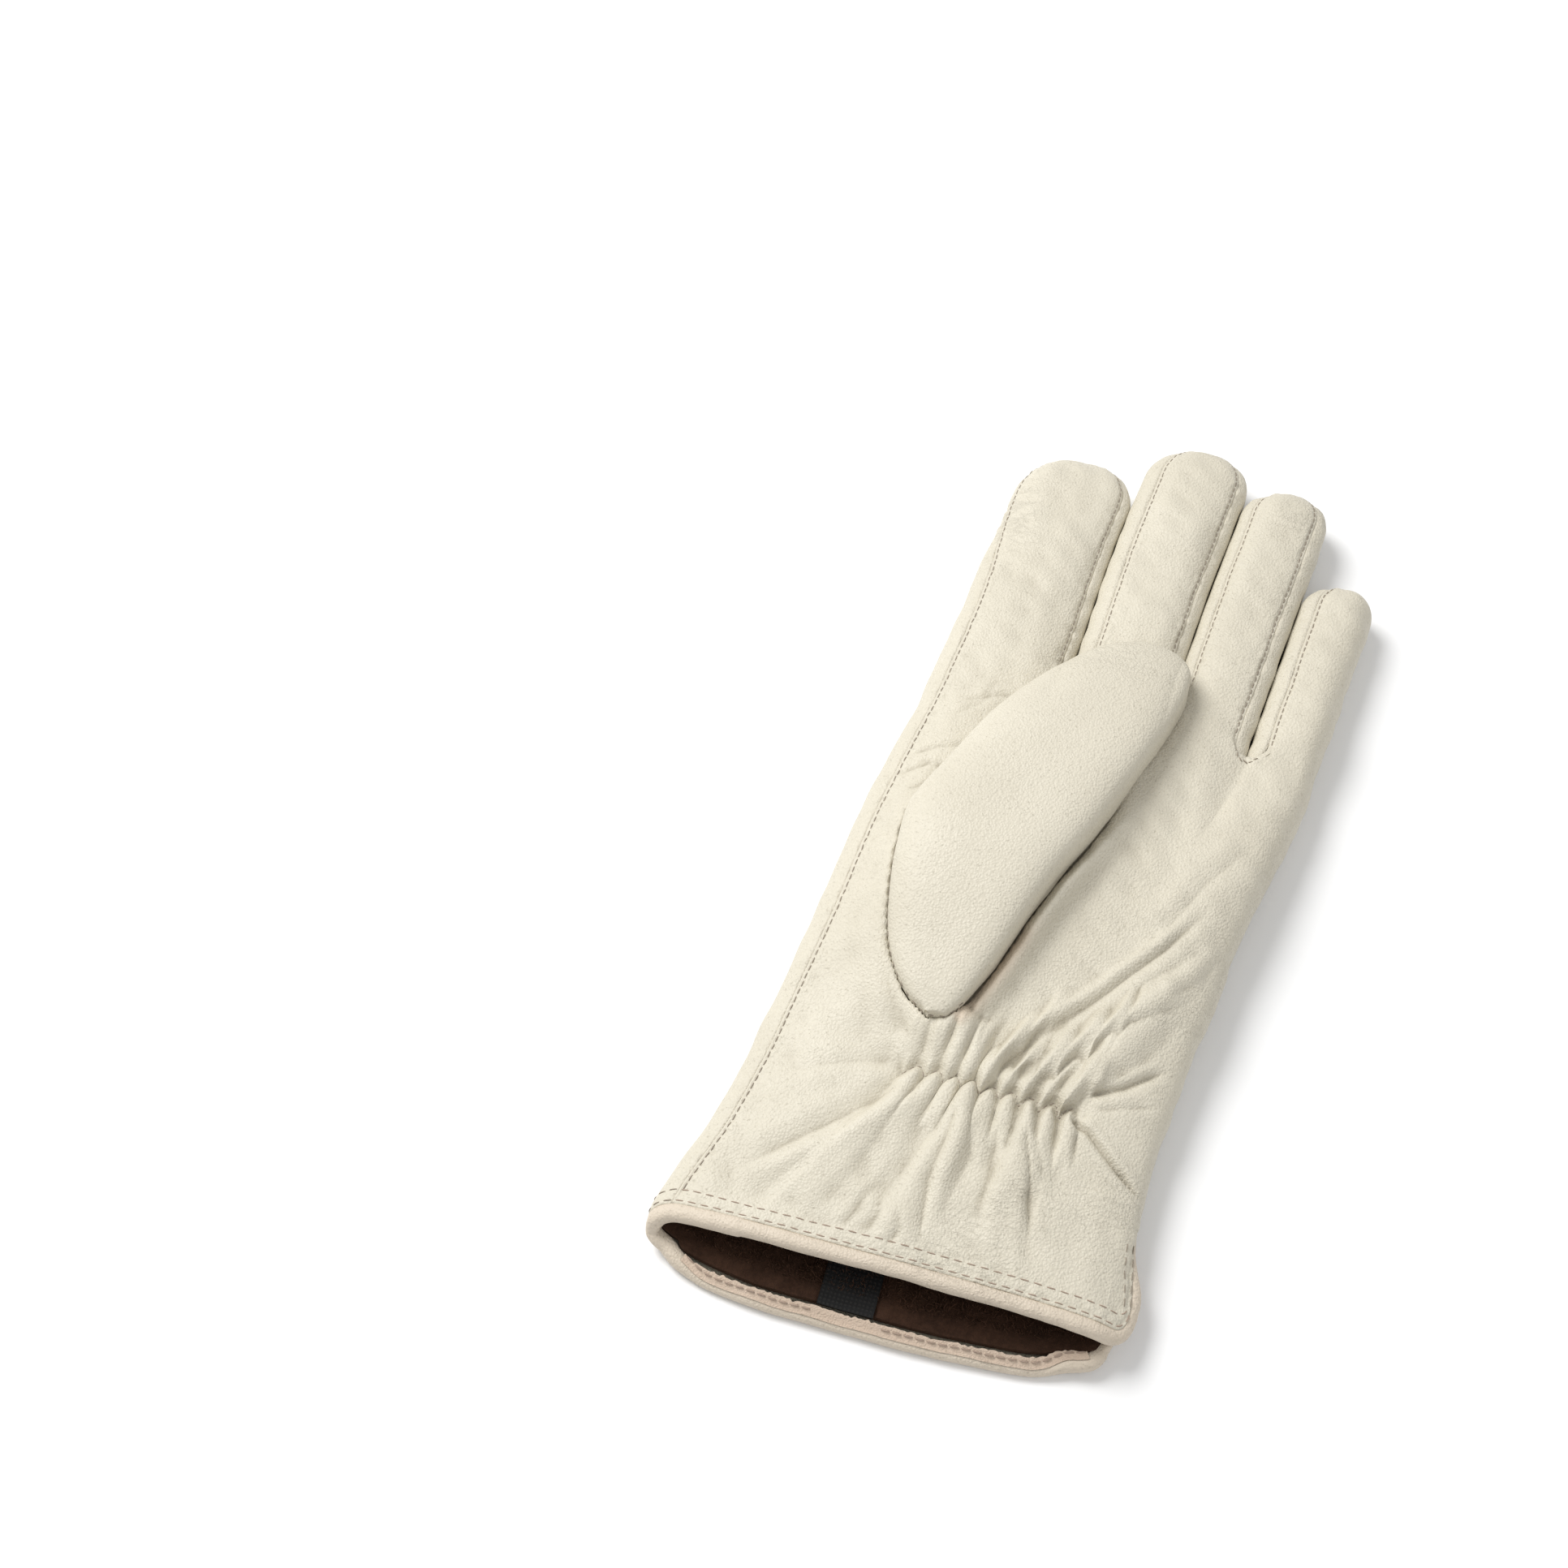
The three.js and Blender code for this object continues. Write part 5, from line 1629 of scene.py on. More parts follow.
@dataclass
class Shell(Part):
    """The leather panels: palm, back and the three strips between the fingers.

    Attributes:
        seam_inset: How far the seams' stitches stand from the edge, as hem_rows and back_inset do elsewhere.
        groove: How deep the stitches of the back lie.
        hollows: Soft dents along each finger: a share of its length and a depth.
    """

    thumb: ThumbPouch
    gathers: Gathers = Gathers()
    cell: float = 0.62
    per_column: int = 6
    thread: Thread = Thread(1.7, 0.35)
    seam_inset: float = 0.85
    hem_rows: tuple[float, ...] = (0.8, 3.4)
    back_inset: float = 1.2
    groove: float = 0.36
    hollows: tuple[tuple[float, float], ...] = ((0.06, 0.5), (0.42, 0.55), (0.72, 0.3))
    creases: tuple[Crease, ...] = (
        Crease(((70, 60), (80, 72), (92, 88), (101, 104)), 0.8, 0.8, 0.9),
        Crease(((83, 50), (90, 54), (99, 62)), 1.2, 0.7, 0.6),
        Crease(((80, 44), (85, 42), (91, 37), (100, 31)), 1.6, 0.5, 0.6),
        Crease(((84, 47), (92, 50), (101, 54)), 0.3, 0.6, 0.1),
        Crease(((46, 43), (33, 30), (13, 12)), 0.8, 1.3, 0.9),
        Crease(((44, 47), (33, 44), (18, 38)), 0.35, 1.2, 0.3),
        Crease(((44, 50), (36, 62), (30, 72)), 0.5, 1.2, 0.4),
        Crease(((40, 52), (33, 70), (25, 90)), 0.4, 1.1, 0.3),
        Crease(((57, 40), (55, 22), (57, 5)), 1.0, 1.0, 0.5),
        Crease(((72, 39), (76, 26), (78, 14)), 1.0, 0.9, 0.4),
        Crease(((66, 38), (67, 27), (66, 16)), 0.6, 0.9, 0.4),
        Crease(((90, 90), (98, 108), (108, 124)), 0.4, 1.4, 0.4),
        Crease(((95, 76), (101, 84), (106, 94)), 0.35, 1.2, 0.3),
        Crease(((24, 118), (30, 122), (38, 121)), 0.4, 0.6, 0.3),
        Crease(((25, 124), (31, 127), (40, 129)), 0.35, 0.6, 0.25),
        Crease(((27, 112), (31, 117), (33, 126)), 0.3, 0.5, 0.2),
        Crease(((33, 142), (42, 146), (52, 147)), 0.35, 0.7, 0.3),
        Crease(((32, 137), (38, 143), (40, 152)), 0.25, 0.6, 0.2),
        Crease(((45, 8), (47, 12), (46, 17)), 0.4, 0.6, 0.3),
        Crease(((50, 6), (52, 10), (50, 15)), 0.4, 0.6, 0.3),
        Crease(((40, 7), (42, 11), (45, 19)), 0.4, 0.6, 0.3),
    )
    palm: Panel = field(init=False)
    back: Panel = field(init=False)
    strips: list[Panel] = field(init=False)
    hem_line: Array = field(init=False)

    def __post_init__(self) -> None:
        """Lays the panels out."""
        self.palm = self.lay_palm()
        self.back = self.lay_back()
        self.strips = [self.lay_strip(gap) for gap in range(3)]
        self.hem_line = self.lay_hem_line()

    def rows(self) -> Rows:
        """Rows from the hem to the knuckles.

        Returns:
            The rows.
        """
        layout = self.layout
        ends = (0, layout.vent_length, layout.gather_along, layout.palm_length)
        counts = [int(length / self.cell) for length in np.diff(ends)]
        shares = [np.arange(count) / count for count in counts] + [np.ones(1)]
        zones = np.repeat([Zone.VENT, Zone.WRIST, Zone.PALM], [*counts[:2], counts[2] + 1])
        return Rows(zones[:, None], np.concatenate(shares)[:, None])

    def steps(self, f: int) -> Steps:
        """Places rows along a finger, closer together at its crotch and its tip.

        Args:
            f: The finger.

        Returns:
            The rows.
        """
        count = int(self.layout.fingers[f].length * 0.8 / self.cell)
        straight = np.concatenate([[0.002, 0.006], np.linspace(0.013, 1, count)])
        sines = np.sin(np.linspace(0, math.asin(0.97), 16))[1:]
        share = np.concatenate([straight, np.ones(len(sines))])
        sine = np.concatenate([np.zeros(len(straight)), sines])
        return Steps(share[:, None], sine[:, None])

    def lay_palm(self) -> Panel:
        """The palm's panel, with its four finger faces.

        Returns:
            The panel.
        """
        layout, rows = self.layout, self.rows()
        per = layout.columns * self.per_column
        shares = crowded(np.linspace(0, 1, per + 1))
        wraps = np.linspace(0, 1, 21)
        strips = [layout.palm_strip(f, shares, rows, self.gathers) for f in range(4)]
        hand = np.concatenate([strip[:, :-1] for strip in strips] + [layout.palm_wrap(wraps, rows)], axis=1)
        grids = [hand]
        for f in range(4):
            steps = self.steps(f)
            face = layout.palm_finger(f, shares, steps)
            first, last = f * per, (f + 1) * per + 1
            if f == 3:
                face = np.concatenate([face[:, :-1], layout.little_finger_wrap(wraps, steps)], axis=1)
                last = hand.shape[1]
            tip = layout.tip_line(f, face.shape[1])[None]
            grids.append(np.concatenate([hand[-1:, first:last], face, tip]))
        panel = Panel("palm_panel", grids, False)
        self.dent_palm(panel)
        panel.lap(True, Ripples(11, 2.5, 5))
        return panel

    def dent_palm(self, panel: Panel) -> None:
        """Adds the palm's creases, dents and swellings.

        Args:
            panel: The palm.
        """
        layout = self.layout
        crotches = [(layout.crotch_x(gap), layout.crotch_y(gap) - layout.notch_length) for gap in range(3)]
        away = np.linalg.norm(panel.points[:, None, :2] - np.array(crotches), axis=2).min(axis=1)
        near_crotches = smooth((14 - away) / 6) * smooth((panel.edge_distance - 0.5) / 1.5)
        near_gathers = 0.75 * smooth((5 - np.abs(panel.points[:, 1] - layout.gather_along)) / 2)
        for share, rounds in ((near_crotches, 30), (near_gathers, 2)):
            panel.points = mix(panel.points, panel.evened(rounds), share[:, None])
        points = panel.points
        inner = smooth(panel.edge_distance / 7)
        relief = 0.55 * Ripples(3, 18, 46).at(points) * inner + 0.16 * Ripples(5, 5, 13).at(points) * inner
        for crease in self.creases:
            relief = relief + crease.relief(points) * smooth(panel.edge_distance / 2)
        cuff = smooth(1 - points[:, 1] / 16) * smooth(1 - np.abs(points[:, 0] - 48) / 26)
        relief = relief + 0.45 * Ripples(9, 4, 9).at(points) * cuff * inner
        for f, finger in enumerate(layout.fingers):
            for share, depth in self.hollows:
                y = float(layout.finger_base(f, 0.5)) + share * finger.length
                ring = layout.finger_ring(f, y)
                across = (points[:, 0] - float(ring.centre)) / float(ring.half)
                relief = relief - depth * bell(points[:, 1] - y, 6) * bell(across, 0.75)
        panel.push(relief)
        rise, panel.tint = self.thumb.swell(panel.points)
        panel.points[:, 2] += rise * smooth(panel.edge_distance / 5)

    def lay_back(self) -> Panel:
        """The back's panel, with its four finger backs.

        Returns:
            The panel.
        """
        layout, rows = self.layout, self.rows()
        bands = [np.linspace(0, 1, count + 1) for count in (44, 34, 32, 40)]
        wraps, edges = np.linspace(0, 1, 31), np.linspace(0, 1, 13)
        parts = [layout.back_index_wrap(wraps, rows)[:, :-1]]
        parts += [layout.back_strip(f, bands[f], rows)[:, :-1] for f in range(4)]
        parts.append(layout.back_little_edge(edges, rows))
        hand = np.concatenate(parts, axis=1)
        grids, first = [hand], 0
        for f in range(4):
            steps = self.steps(f)
            face = layout.back_finger(f, bands[f], steps)
            if f == 0:
                y, base = layout.finger_y(0, 0.0, steps), layout.finger_base(0, 0.0)
                start, end = layout.index_edge(y), layout.back_index_side
                wrap = layout.edge_way(Side.INDEX, y, base, start, end, wraps[None, :])
                face = np.concatenate([wrap[:, :-1], face], axis=1)
            if f == 3:
                y, base = layout.finger_y(3, 1.0, steps), layout.finger_base(3, 1.0)
                start, end = layout.back_little_side, Spot(Face.BACK, layout.little_seam_inset)
                edge = layout.edge_way(Side.LITTLE, y, base, start, end, edges[None, :])
                face = np.concatenate([face[:, :-1], edge], axis=1)
            tip = layout.tip_line(f, face.shape[1])[None]
            last = first + face.shape[1]
            grids.append(np.concatenate([hand[-1:, first:last], face, tip]))
            first = last - 1
        panel = Panel("back_panel", grids, True)
        high = smooth((panel.points[:, 2] - 1.2) / 2)
        panel.push((0.2 * Ripples(21, 10, 30).at(panel.points)) * smooth(panel.edge_distance / 4) * high)
        panel.lap(False, Ripples(12, 2.5, 5))
        on_hand = panel.points[:, 1] < layout.gather_along
        groove = np.zeros(len(panel.points))
        for inset, here in [(inset, on_hand) for inset in self.hem_rows] + [(self.back_inset, ~on_hand)]:
            groove = np.maximum(groove, self.groove * bell(panel.edge_distance - inset, 0.6) * here)
        panel.points[:, 2] = np.maximum(panel.points[:, 2], groove)
        return panel

    def lay_strip(self, gap: int) -> Panel:
        """Lays the strip between two fingers.

        Args:
            gap: The slot that it lines.

        Returns:
            The strip.
        """
        names = ("fourchette_index_middle", "fourchette_middle_ring", "fourchette_ring_little")
        shares = np.linspace(0, 1, 19)
        legs = [self.layout.strip_leg(gap, Side.LITTLE, shares, self.steps(gap))[::-1]]
        legs.append(self.layout.strip_leg(gap, Side.INDEX, shares, self.steps(gap + 1)))
        down, up = [self.fill_slot(leg, side, shares) for leg, side in zip(legs, (Side.LITTLE, Side.INDEX))]
        web = (down[-1:] + up[:1]) / 2
        panel = Panel(names[gap], [np.concatenate([down, web, up])], True)
        ripple = 0.14 * Ripples(31 + gap, 6, 14).at(panel.points)
        panel.push((0.1 + ripple) * smooth(panel.edge_distance / 2.5))
        panel.lap(False, Ripples(14, 2.5, 5))
        return panel

    def fill_slot(self, leg: Array, side: Side, shares: Array) -> Array:
        """Presses one leg of a strip towards the neighbour's.

        Args:
            leg: The leg's grid.
            side: Which way the neighbour lies.
            shares: Shares from the palm's seam to the back's.

        Returns:
            The grid with its middle moved over.
        """
        reach = side * (side * leg[..., 0]).max(axis=1)
        room = reach[:, None] + side * (self.layout.finger_gap / 2 - 0.05) - leg[..., 0]
        window = smooth(shares / 0.3) * smooth((1 - shares) / 0.3)
        return leg + stack(0.85 * room * window, 0, 0)

    def lay_hem_line(self) -> Array:
        """The loop that the binding follows: palm hem, vent and back hem, with normals.

        Returns:
            Points and normals.
        """
        vent = int(self.layout.vent_length / self.cell)
        palm, back = self.palm.ids[0], self.back.ids[0]
        ways = (
            (self.palm, np.concatenate([palm[0], palm[1 : vent + 1, -1]])),
            (self.back, np.concatenate([back[1:vent, -1][::-1], back[0][::-1]])),
        )
        parts = [np.concatenate([panel.points, panel.normals()], axis=1)[ids] for panel, ids in ways]
        return np.concatenate(parts)

    def make(self) -> None:
        """Makes the panels with their stitches."""
        finishes = self.finishes
        bare = [(strip, None) for strip in self.strips]
        for panel, sew in [(self.palm, self.sew_palm), (self.back, self.sew_back), *bare]:
            piece = panel.piece(self.layout.leather)
            if sew:
                sew(piece)
            threads = [finishes.taupe, finishes.rose] if sew else []
            self.finish(piece, Slot.CREAM_LEATHER, finishes.cream, *threads)

    def slot_sides(self) -> list[tuple[int, Side]]:
        """The sides of the fingers that face a slot, each with its finger."""
        outer = ((0, Side.INDEX), (3, Side.LITTLE))
        return [(f, side) for f in range(4) for side in Side if (f, side) not in outer]

    def sew_palm(self, piece: Piece) -> None:
        """Sews the seams, the slots, the hem and the vent of the palm.

        Args:
            piece: The piece that the stitches join.
        """
        panel = self.palm
        ends = ((0, 6), (1, 1))
        side = [panel.line(grid, Side.INDEX, self.seam_inset)[first:] for grid, first in ends]
        self.thread.sew(piece, np.concatenate(side), 1)
        for f, side in self.slot_sides():
            self.thread.sew(piece, panel.line(f + 1, side, self.seam_inset)[9:], 1)
            if side == Side.LITTLE:
                self.sew_crotch(piece, f)
        fine = Thread(2, 0.8, 0.11)
        for inset in self.hem_rows:
            fine.sew(piece, panel.hem(inset), 2)
            first, last = int(inset / self.cell) + 3, int(self.layout.vent_length / self.cell) - 2
            fine.sew(piece, panel.line(0, Side.LITTLE, inset)[first:last], 1)
        self.sew_gathers(piece)

    def sew_gathers(self, piece: Piece) -> None:
        """Sews the zigzag of the gathered wrist along the bottom of its valley.

        Args:
            piece: The piece that the stitches join.
        """
        points, ids, normals = self.palm.points, self.palm.ids[0], self.palm.normals()
        first, last = [int(column * self.per_column) for column in (self.gathers.first, self.gathers.last)]
        per = self.layout.columns * self.per_column
        columns = np.arange(first, last + 1)
        fingers = columns // per + crowded(columns % per / per)
        line = self.gathers.line(self.layout, self.layout.columns * fingers)
        found = ids[np.abs(points[ids[:, columns], 1] - line).argmin(axis=0), columns]
        path = np.concatenate([points[found], mix(normals[found], np.array([0, 0, 1]), 0.7)], axis=1)
        Thread(1.5, 0.5, 0.13).sew(piece, path, 1)

    def sew_crotch(self, piece: Piece, gap: int) -> None:
        """Sews the puckered stitches round the bottom of a slot between two fingers.

        Args:
            piece: The piece that the stitches join.
            gap: The slot.
        """
        layout, panel = self.layout, self.palm
        x, y = np.array([(-2.9, 5.4), (-2.4, 3.6), (-1.3, 2.3), (1, 2.2), (2.2, 3.5), (2.7, 5.4)]).T
        places = stack(layout.crotch_x(gap) + x, layout.crotch_y(gap) - layout.notch_length + y, 0)
        found, _ = nearest(panel.points * np.array([1, 1, 0]), places)
        path = np.concatenate([panel.points[found], panel.normals()[found]], axis=1)
        Thread(1.2, 0.2, 0.14).sew(piece, path, 1, slant=0.5)

    def sew_back(self, piece: Piece) -> None:
        """Sews the tuck, the finger seams and the hem of the back.

        Args:
            piece: The piece that the stitches join.
        """
        layout, panel = self.layout, self.back
        y = np.arange(layout.vent_length + 2, layout.crotch_y(1) - layout.notch_length - 2, 0.5)
        for side in Side:
            x = layout.band_seam(1, 1, y) + side * layout.tuck_half_width
            path = np.concatenate([stack(x, y, layout.tuck_groove - 0.1), stack(0 * x, 0, -1)], axis=1)
            self.thread.sew(piece, path, 1)
        for f, side in self.slot_sides():
            self.thread.sew(piece, self.sunk(panel.line(f + 1, side, self.back_inset)[4:]), 1)
        for inset in self.hem_rows:
            Thread(2, 0.8, 0.12).sew(piece, self.sunk(panel.hem(inset)), 1)

    def sunk(self, path: Array) -> Array:
        """A row of stitches with its points kept off the table."""
        path[:, 2] = np.maximum(path[:, 2], self.groove - 0.05)
        return path


@dataclass
class ThumbPouch(Part):
    """The thumb, a leaf-shaped pouch that lies over the palm."""

    length: float = 116
    width: float = 37.5
    thickness: float = 12.5
    turn: float = 16.2
    base_along: float = 56
    base_across: float = 46
    swell_extra: float = 1.2
    fullness: float = 0.72
    folded_fullness: float = 0.52
    steps: int = 190
    around: int = 140
    outline: Table = table(
        "along left right full",
        (0, 0.03, 0, 0.3),
        (0.015, 0.15, 0.09, 0.36),
        (0.05, 0.31, 0.13, 0.5),
        (0.1, 0.45, 0.15, 0.64),
        (0.17, 0.58, 0.17, 0.78),
        (0.28, 0.73, 0.18, 0.93),
        (0.38, 0.81, 0.2, 1),
        (0.5, 0.77, 0.245, 1),
        (0.64, 0.72, 0.265, 0.97),
        (0.77, 0.62, 0.27, 0.9),
        (0.88, 0.48, 0.25, 0.78),
        (0.95, 0.32, 0.2, 0.62),
        (0.985, 0.18, 0.12, 0.46),
        (1, 0.04, 0.03, 0.3),
    )
    creases: tuple[Crease, ...] = (
        Crease(((40, 112), (44, 104), (45, 94)), 0.35, 0.8, 0.3),
        Crease(((37, 110), (41, 101), (42, 90)), 0.3, 0.7, 0.25),
        Crease(((44, 64), (41, 72), (36, 80)), 0.3, 0.8, 0.3),
        Crease(((50, 62), (46, 70), (43, 76)), 0.3, 0.8, 0.2),
    )

    def place(self, along: Array, across: Array) -> tuple[Array, Array]:
        """Finds places in plan on the thumb.

        Args:
            along: Shares of its length.
            across: Shares of its width, towards the forefinger.

        Returns:
            Their x and y.
        """
        angle = math.radians(self.turn)
        reach, side = along * self.length, across * self.width
        x = self.base_across + reach * math.sin(angle) - side * math.cos(angle)
        return x, self.base_along + reach * math.cos(angle) + side * math.sin(angle)

    def swell(self, points: Array) -> tuple[Array, Array]:
        """How the palm meets the thumb: raised along its sewn side, base and folded side.

        Args:
            points: Points of the palm.

        Returns:
            The rise in millimetres, and where the pink strip beside the thumb's base shows, from 0 to 1.
        """
        along = np.concatenate([np.linspace(0.55, 0.0, 160), np.linspace(0.0, 0.1, 30)])
        right = np.arange(len(along)) >= 160
        across = np.where(right, -self.outline.at("right", along), self.outline.at("left", along))
        flat = points * np.array([1, 1, 0])
        which, distance = nearest(self.plan(along, across), flat)
        angle = math.radians(self.turn)
        off_x, off_y = points[:, 0] - self.base_across, points[:, 1] - self.base_along
        reach = (off_x * math.sin(angle) + off_y * math.cos(angle)) / self.length
        side = (off_y * math.sin(angle) - off_x * math.cos(angle)) / self.width
        covered = (side < self.outline.at("left", reach)) & (side > -self.outline.at("right", reach))
        covered &= reach > 0
        edge = 0.3 * self.thickness * self.outline.at("full", along[which]) + self.swell_extra
        edge = edge + self.over_folds(points[:, 1]) * 0.8
        fade = smooth((0.5 - along[which]) / 0.16)
        fade = fade * np.where(right[which], smooth((0.09 - along[which]) / 0.06), 1)
        rise = edge * fade * np.where(covered, np.exp(-distance / 0.5), np.exp(-((distance / 6.5) ** 1.5)))
        along = np.linspace(0.02, 0.7, 200)
        which, distance = nearest(self.plan(along, -self.outline.at("right", along)), flat)
        beside = ~covered & (side < 0)
        fade = beside * smooth((0.68 - along[which]) / 0.3) * smooth((along[which] - 0.03) / 0.05)
        puff = 0.36 * self.thickness * self.outline.at("full", along[which])
        rise = np.maximum(rise, puff * bell(distance - 2.4, 2.6) * fade)
        tint = beside * np.exp(-((distance / 3.4) ** 4)) * smooth((0.32 - along[which]) / 0.1)
        return rise, 0.8 * tint * smooth((along[which] - 0.02) / 0.01)

    def plan(self, along: Array, across: Array) -> Array:
        """Places on the table of shares along and across the thumb."""
        x, y = self.place(along, across)
        return stack(x, y, 0 * x)

    def over_folds(self, y: Array) -> Array:
        """How far the thumb is lifted by the gathers under its base."""
        return self.layout.fold_height * 0.9 * (1 - smooth((y - self.layout.gather_along - 10) / 18))

    def seat(self, x: Array, y: Array) -> Array:
        """Height of the palm under the thumb."""
        heights = [self.layout.palm_surface(x + shift, y) for shift in (-4, 0, 4)]
        return np.maximum.reduce(heights) + self.layout.clearance + self.over_folds(y)

    def grid(self) -> Array:
        """Rings of points along the thumb.

        Returns:
            A grid of points, a row for each ring.
        """
        along = 0.5 - 0.5 * np.cos(np.linspace(0.02, 1 - 0.015, self.steps) * math.pi)[:, None]
        left, right = self.outline.at("left", along), self.outline.at("right", along)
        middle, half = (left - right) / 2, np.maximum(0.004, (left + right) / 2)
        thick = np.maximum(0.8, self.thickness * self.outline.at("full", along))
        angle = circle(self.around)[None, :]
        fullness = np.where(np.cos(angle) < 0, self.folded_fullness, self.fullness)
        out, up = squarish(np.cos(angle), fullness), squarish(np.sin(angle), fullness)
        x, y = self.place(along, middle + half * out)
        centre = self.seat(*self.place(along, middle))
        seat = self.seat(x, y)
        low = 0.3 * thick
        crown = mix(seat, centre, 0.7)
        z = np.where(up < 0, seat + low + low * up, crown + low + (thick - low) * up)
        return stack(x, y, np.maximum(z, seat))

    def make(self) -> None:
        """Makes the thumb with its stitches."""
        grid = self.grid()
        size = grid.shape[:2]
        closed = np.concatenate([grid[:, -1:], grid, grid[:, :1]], axis=1)
        normals = -grid_normals(closed)[:, 1:-1]
        flat = grid.reshape(-1, 3)
        relief = 0.45 * Ripples(41, 16, 40).at(flat) + 0.12 * Ripples(43, 5, 12).at(flat)
        for crease in self.creases:
            relief = relief + crease.relief(flat)
        up = smooth(normals[..., 2].reshape(-1) / 0.5)
        grid = grid + normals * (relief * up).reshape(size)[..., None]
        piece = Piece("thumb")
        piece.add_grid(grid, 0, flipped=True, joined=True)
        piece.cap(0, self.around, True)
        piece.cap(piece.count - self.around, self.around, False)
        self.sew(piece, grid)
        self.finish(piece, Slot.CREAM_LEATHER, self.finishes.cream, self.finishes.taupe)

    def sew(self, piece: Piece, grid: Array) -> None:
        """Sews the seam that joins the thumb to the palm.

        Args:
            piece: The piece that the stitches join.
            grid: The thumb's rings.
        """
        left_side = grid[: int(self.steps * 0.36), 3][::-1]
        right_side = grid[: int(self.steps * 0.17), self.around // 2 - 3]
        path = np.concatenate([left_side, right_side])
        middle = grid[: self.steps // 3, : self.around // 2].mean(axis=(0, 1))
        out = unit(np.concatenate([path[:, :2] - middle[:2], np.full((len(path), 1), 9.0)], axis=1))
        Thread(1.3, 1.2, 0.14).sew(piece, np.concatenate([path, out], axis=1), 1, slant=0.4)


@dataclass
class HemBinding(Part):
    """The rolled strip round the hem and the vent, and the raw edge inside the back."""

    shell: Shell
    corners: int = 20
    lap_across: float = 20
    lap_growth: float = 1.1
    overlap: float = 0.45
    rise: float = 0.12
    label_side: tuple[float, float] = (38.5, 51.5)

    def make(self) -> None:
        """Makes the binding round the shell's edges."""
        layout, line = self.layout, self.shell.hem_line
        loop = resample(np.concatenate([line, line[:1]]), 0.7)[:-1]
        points, normals = loop[:, :3], self.even(unit(loop[:, 3:]), 4)
        points = self.even(points, 2)
        way = unit(np.roll(points, -1, axis=0) - np.roll(points, 1, axis=0))
        out = unit(np.cross(way, normals))
        beside_vent = points[points[:, 0] > layout.cuff_width * 0.8]
        vent_top = beside_vent[beside_vent[:, 1].argmax()]
        near = smooth((np.linalg.norm(points - vent_top, axis=1) - 5) / 10)
        width = mix(layout.vent_binding_width, layout.binding_width, near)[:, None]
        thick = layout.skin_to_inside
        middle = points + out * (width / 2 - self.overlap) - normals * (thick / 2 - self.rise)
        palm_side = points[:, 2] > layout.palm_height * 0.4
        lap = np.where(palm_side & (points[:, 0] < self.lap_across), self.lap_growth, 1.0)[:, None]
        girth = (lap + 0.012 * lap * Ripples(51, 6, 16).at(points)[:, None]) / 2
        angles = -circle(self.corners) - math.pi / self.corners
        flat, up = [squarish(wave, 0.8)[:, None] for wave in (np.cos(angles), np.sin(angles))]
        across, through = out * width * girth, normals * thick * girth
        grid = middle[:, None] + across[:, None] * flat + through[:, None] * up
        grid[..., 2] = np.maximum(grid[..., 2], 0)
        piece = Piece("hem_binding")
        ring = np.concatenate([grid, grid[:1]])
        piece.add_grid(ring, joined=True)
        # The roll's inner side, at its joint with the leather, takes the seam colour, and through the fold
        # mark a little painted shade.
        inner = np.tile((0.5 - 0.5 * np.cos(angles)) ** 8, len(ring))
        piece.marks[0] = np.stack([inner * 0.4, inner * 0.1], axis=1)
        self.add_raw_edge(piece, points, normals, out)
        self.finish(piece, Slot.HEM_LEATHER, self.finishes.pink, self.finishes.raw, self.finishes.rose)

    def even(self, values: Array, reach: int) -> Array:
        """Smooths values round a loop."""
        total = sum(np.roll(values, shift, axis=0) for shift in range(-reach, reach + 1))
        return total / (2 * reach + 1)

    def add_raw_edge(self, piece: Piece, points: Array, normals: Array, out: Array) -> None:
        """Adds the raw leather edge and its stitches inside the back hem.

        Args:
            piece: The binding.
            points: The loop that it follows.
            normals: The leather's normals there.
            out: The way out of the leather's edge there.
        """
        layout = self.layout
        back = (points[:, 2] < 3) & (points[:, 1] < 2) & (points[:, 0] > 9)
        ids = np.nonzero(back & (points[:, 0] < layout.cuff_width - 4))[0]
        fray = Ripples(53, 0.8, 2.4).at(points[ids])
        ends = smooth((points[ids, 0] - 9) / 8) * smooth((layout.cuff_width - 4 - points[ids, 0]) / 8)
        inside = points[ids] - normals[ids] * (layout.skin_to_inside + 0.05)
        rows = []
        for depth in np.linspace(-1.6, 0.8, 9):
            ragged = np.minimum(depth, depth * ends) + 0.2 * fray * smooth(depth / 0.8)
            rise = 0.1 + 0.35 * smooth((depth + 1) / 1.6)
            rows.append(inside - out[ids] * ragged[:, None] - normals[ids] * rise)
        grid = np.stack(rows)
        piece.add_grid(grid, 1, flipped=True)
        piece.add_grid(grid + normals[ids][None] * 0.3, 1)
        stitches = np.concatenate([inside + out[ids] * 0.1 - normals[ids] * 0.5, -normals[ids]], axis=1)
        for part in (stitches[:, 0] < self.label_side[0], stitches[:, 0] > self.label_side[1]):
            Thread(1.9, 0.5, 0.15).sew(piece, stitches[part], 2)


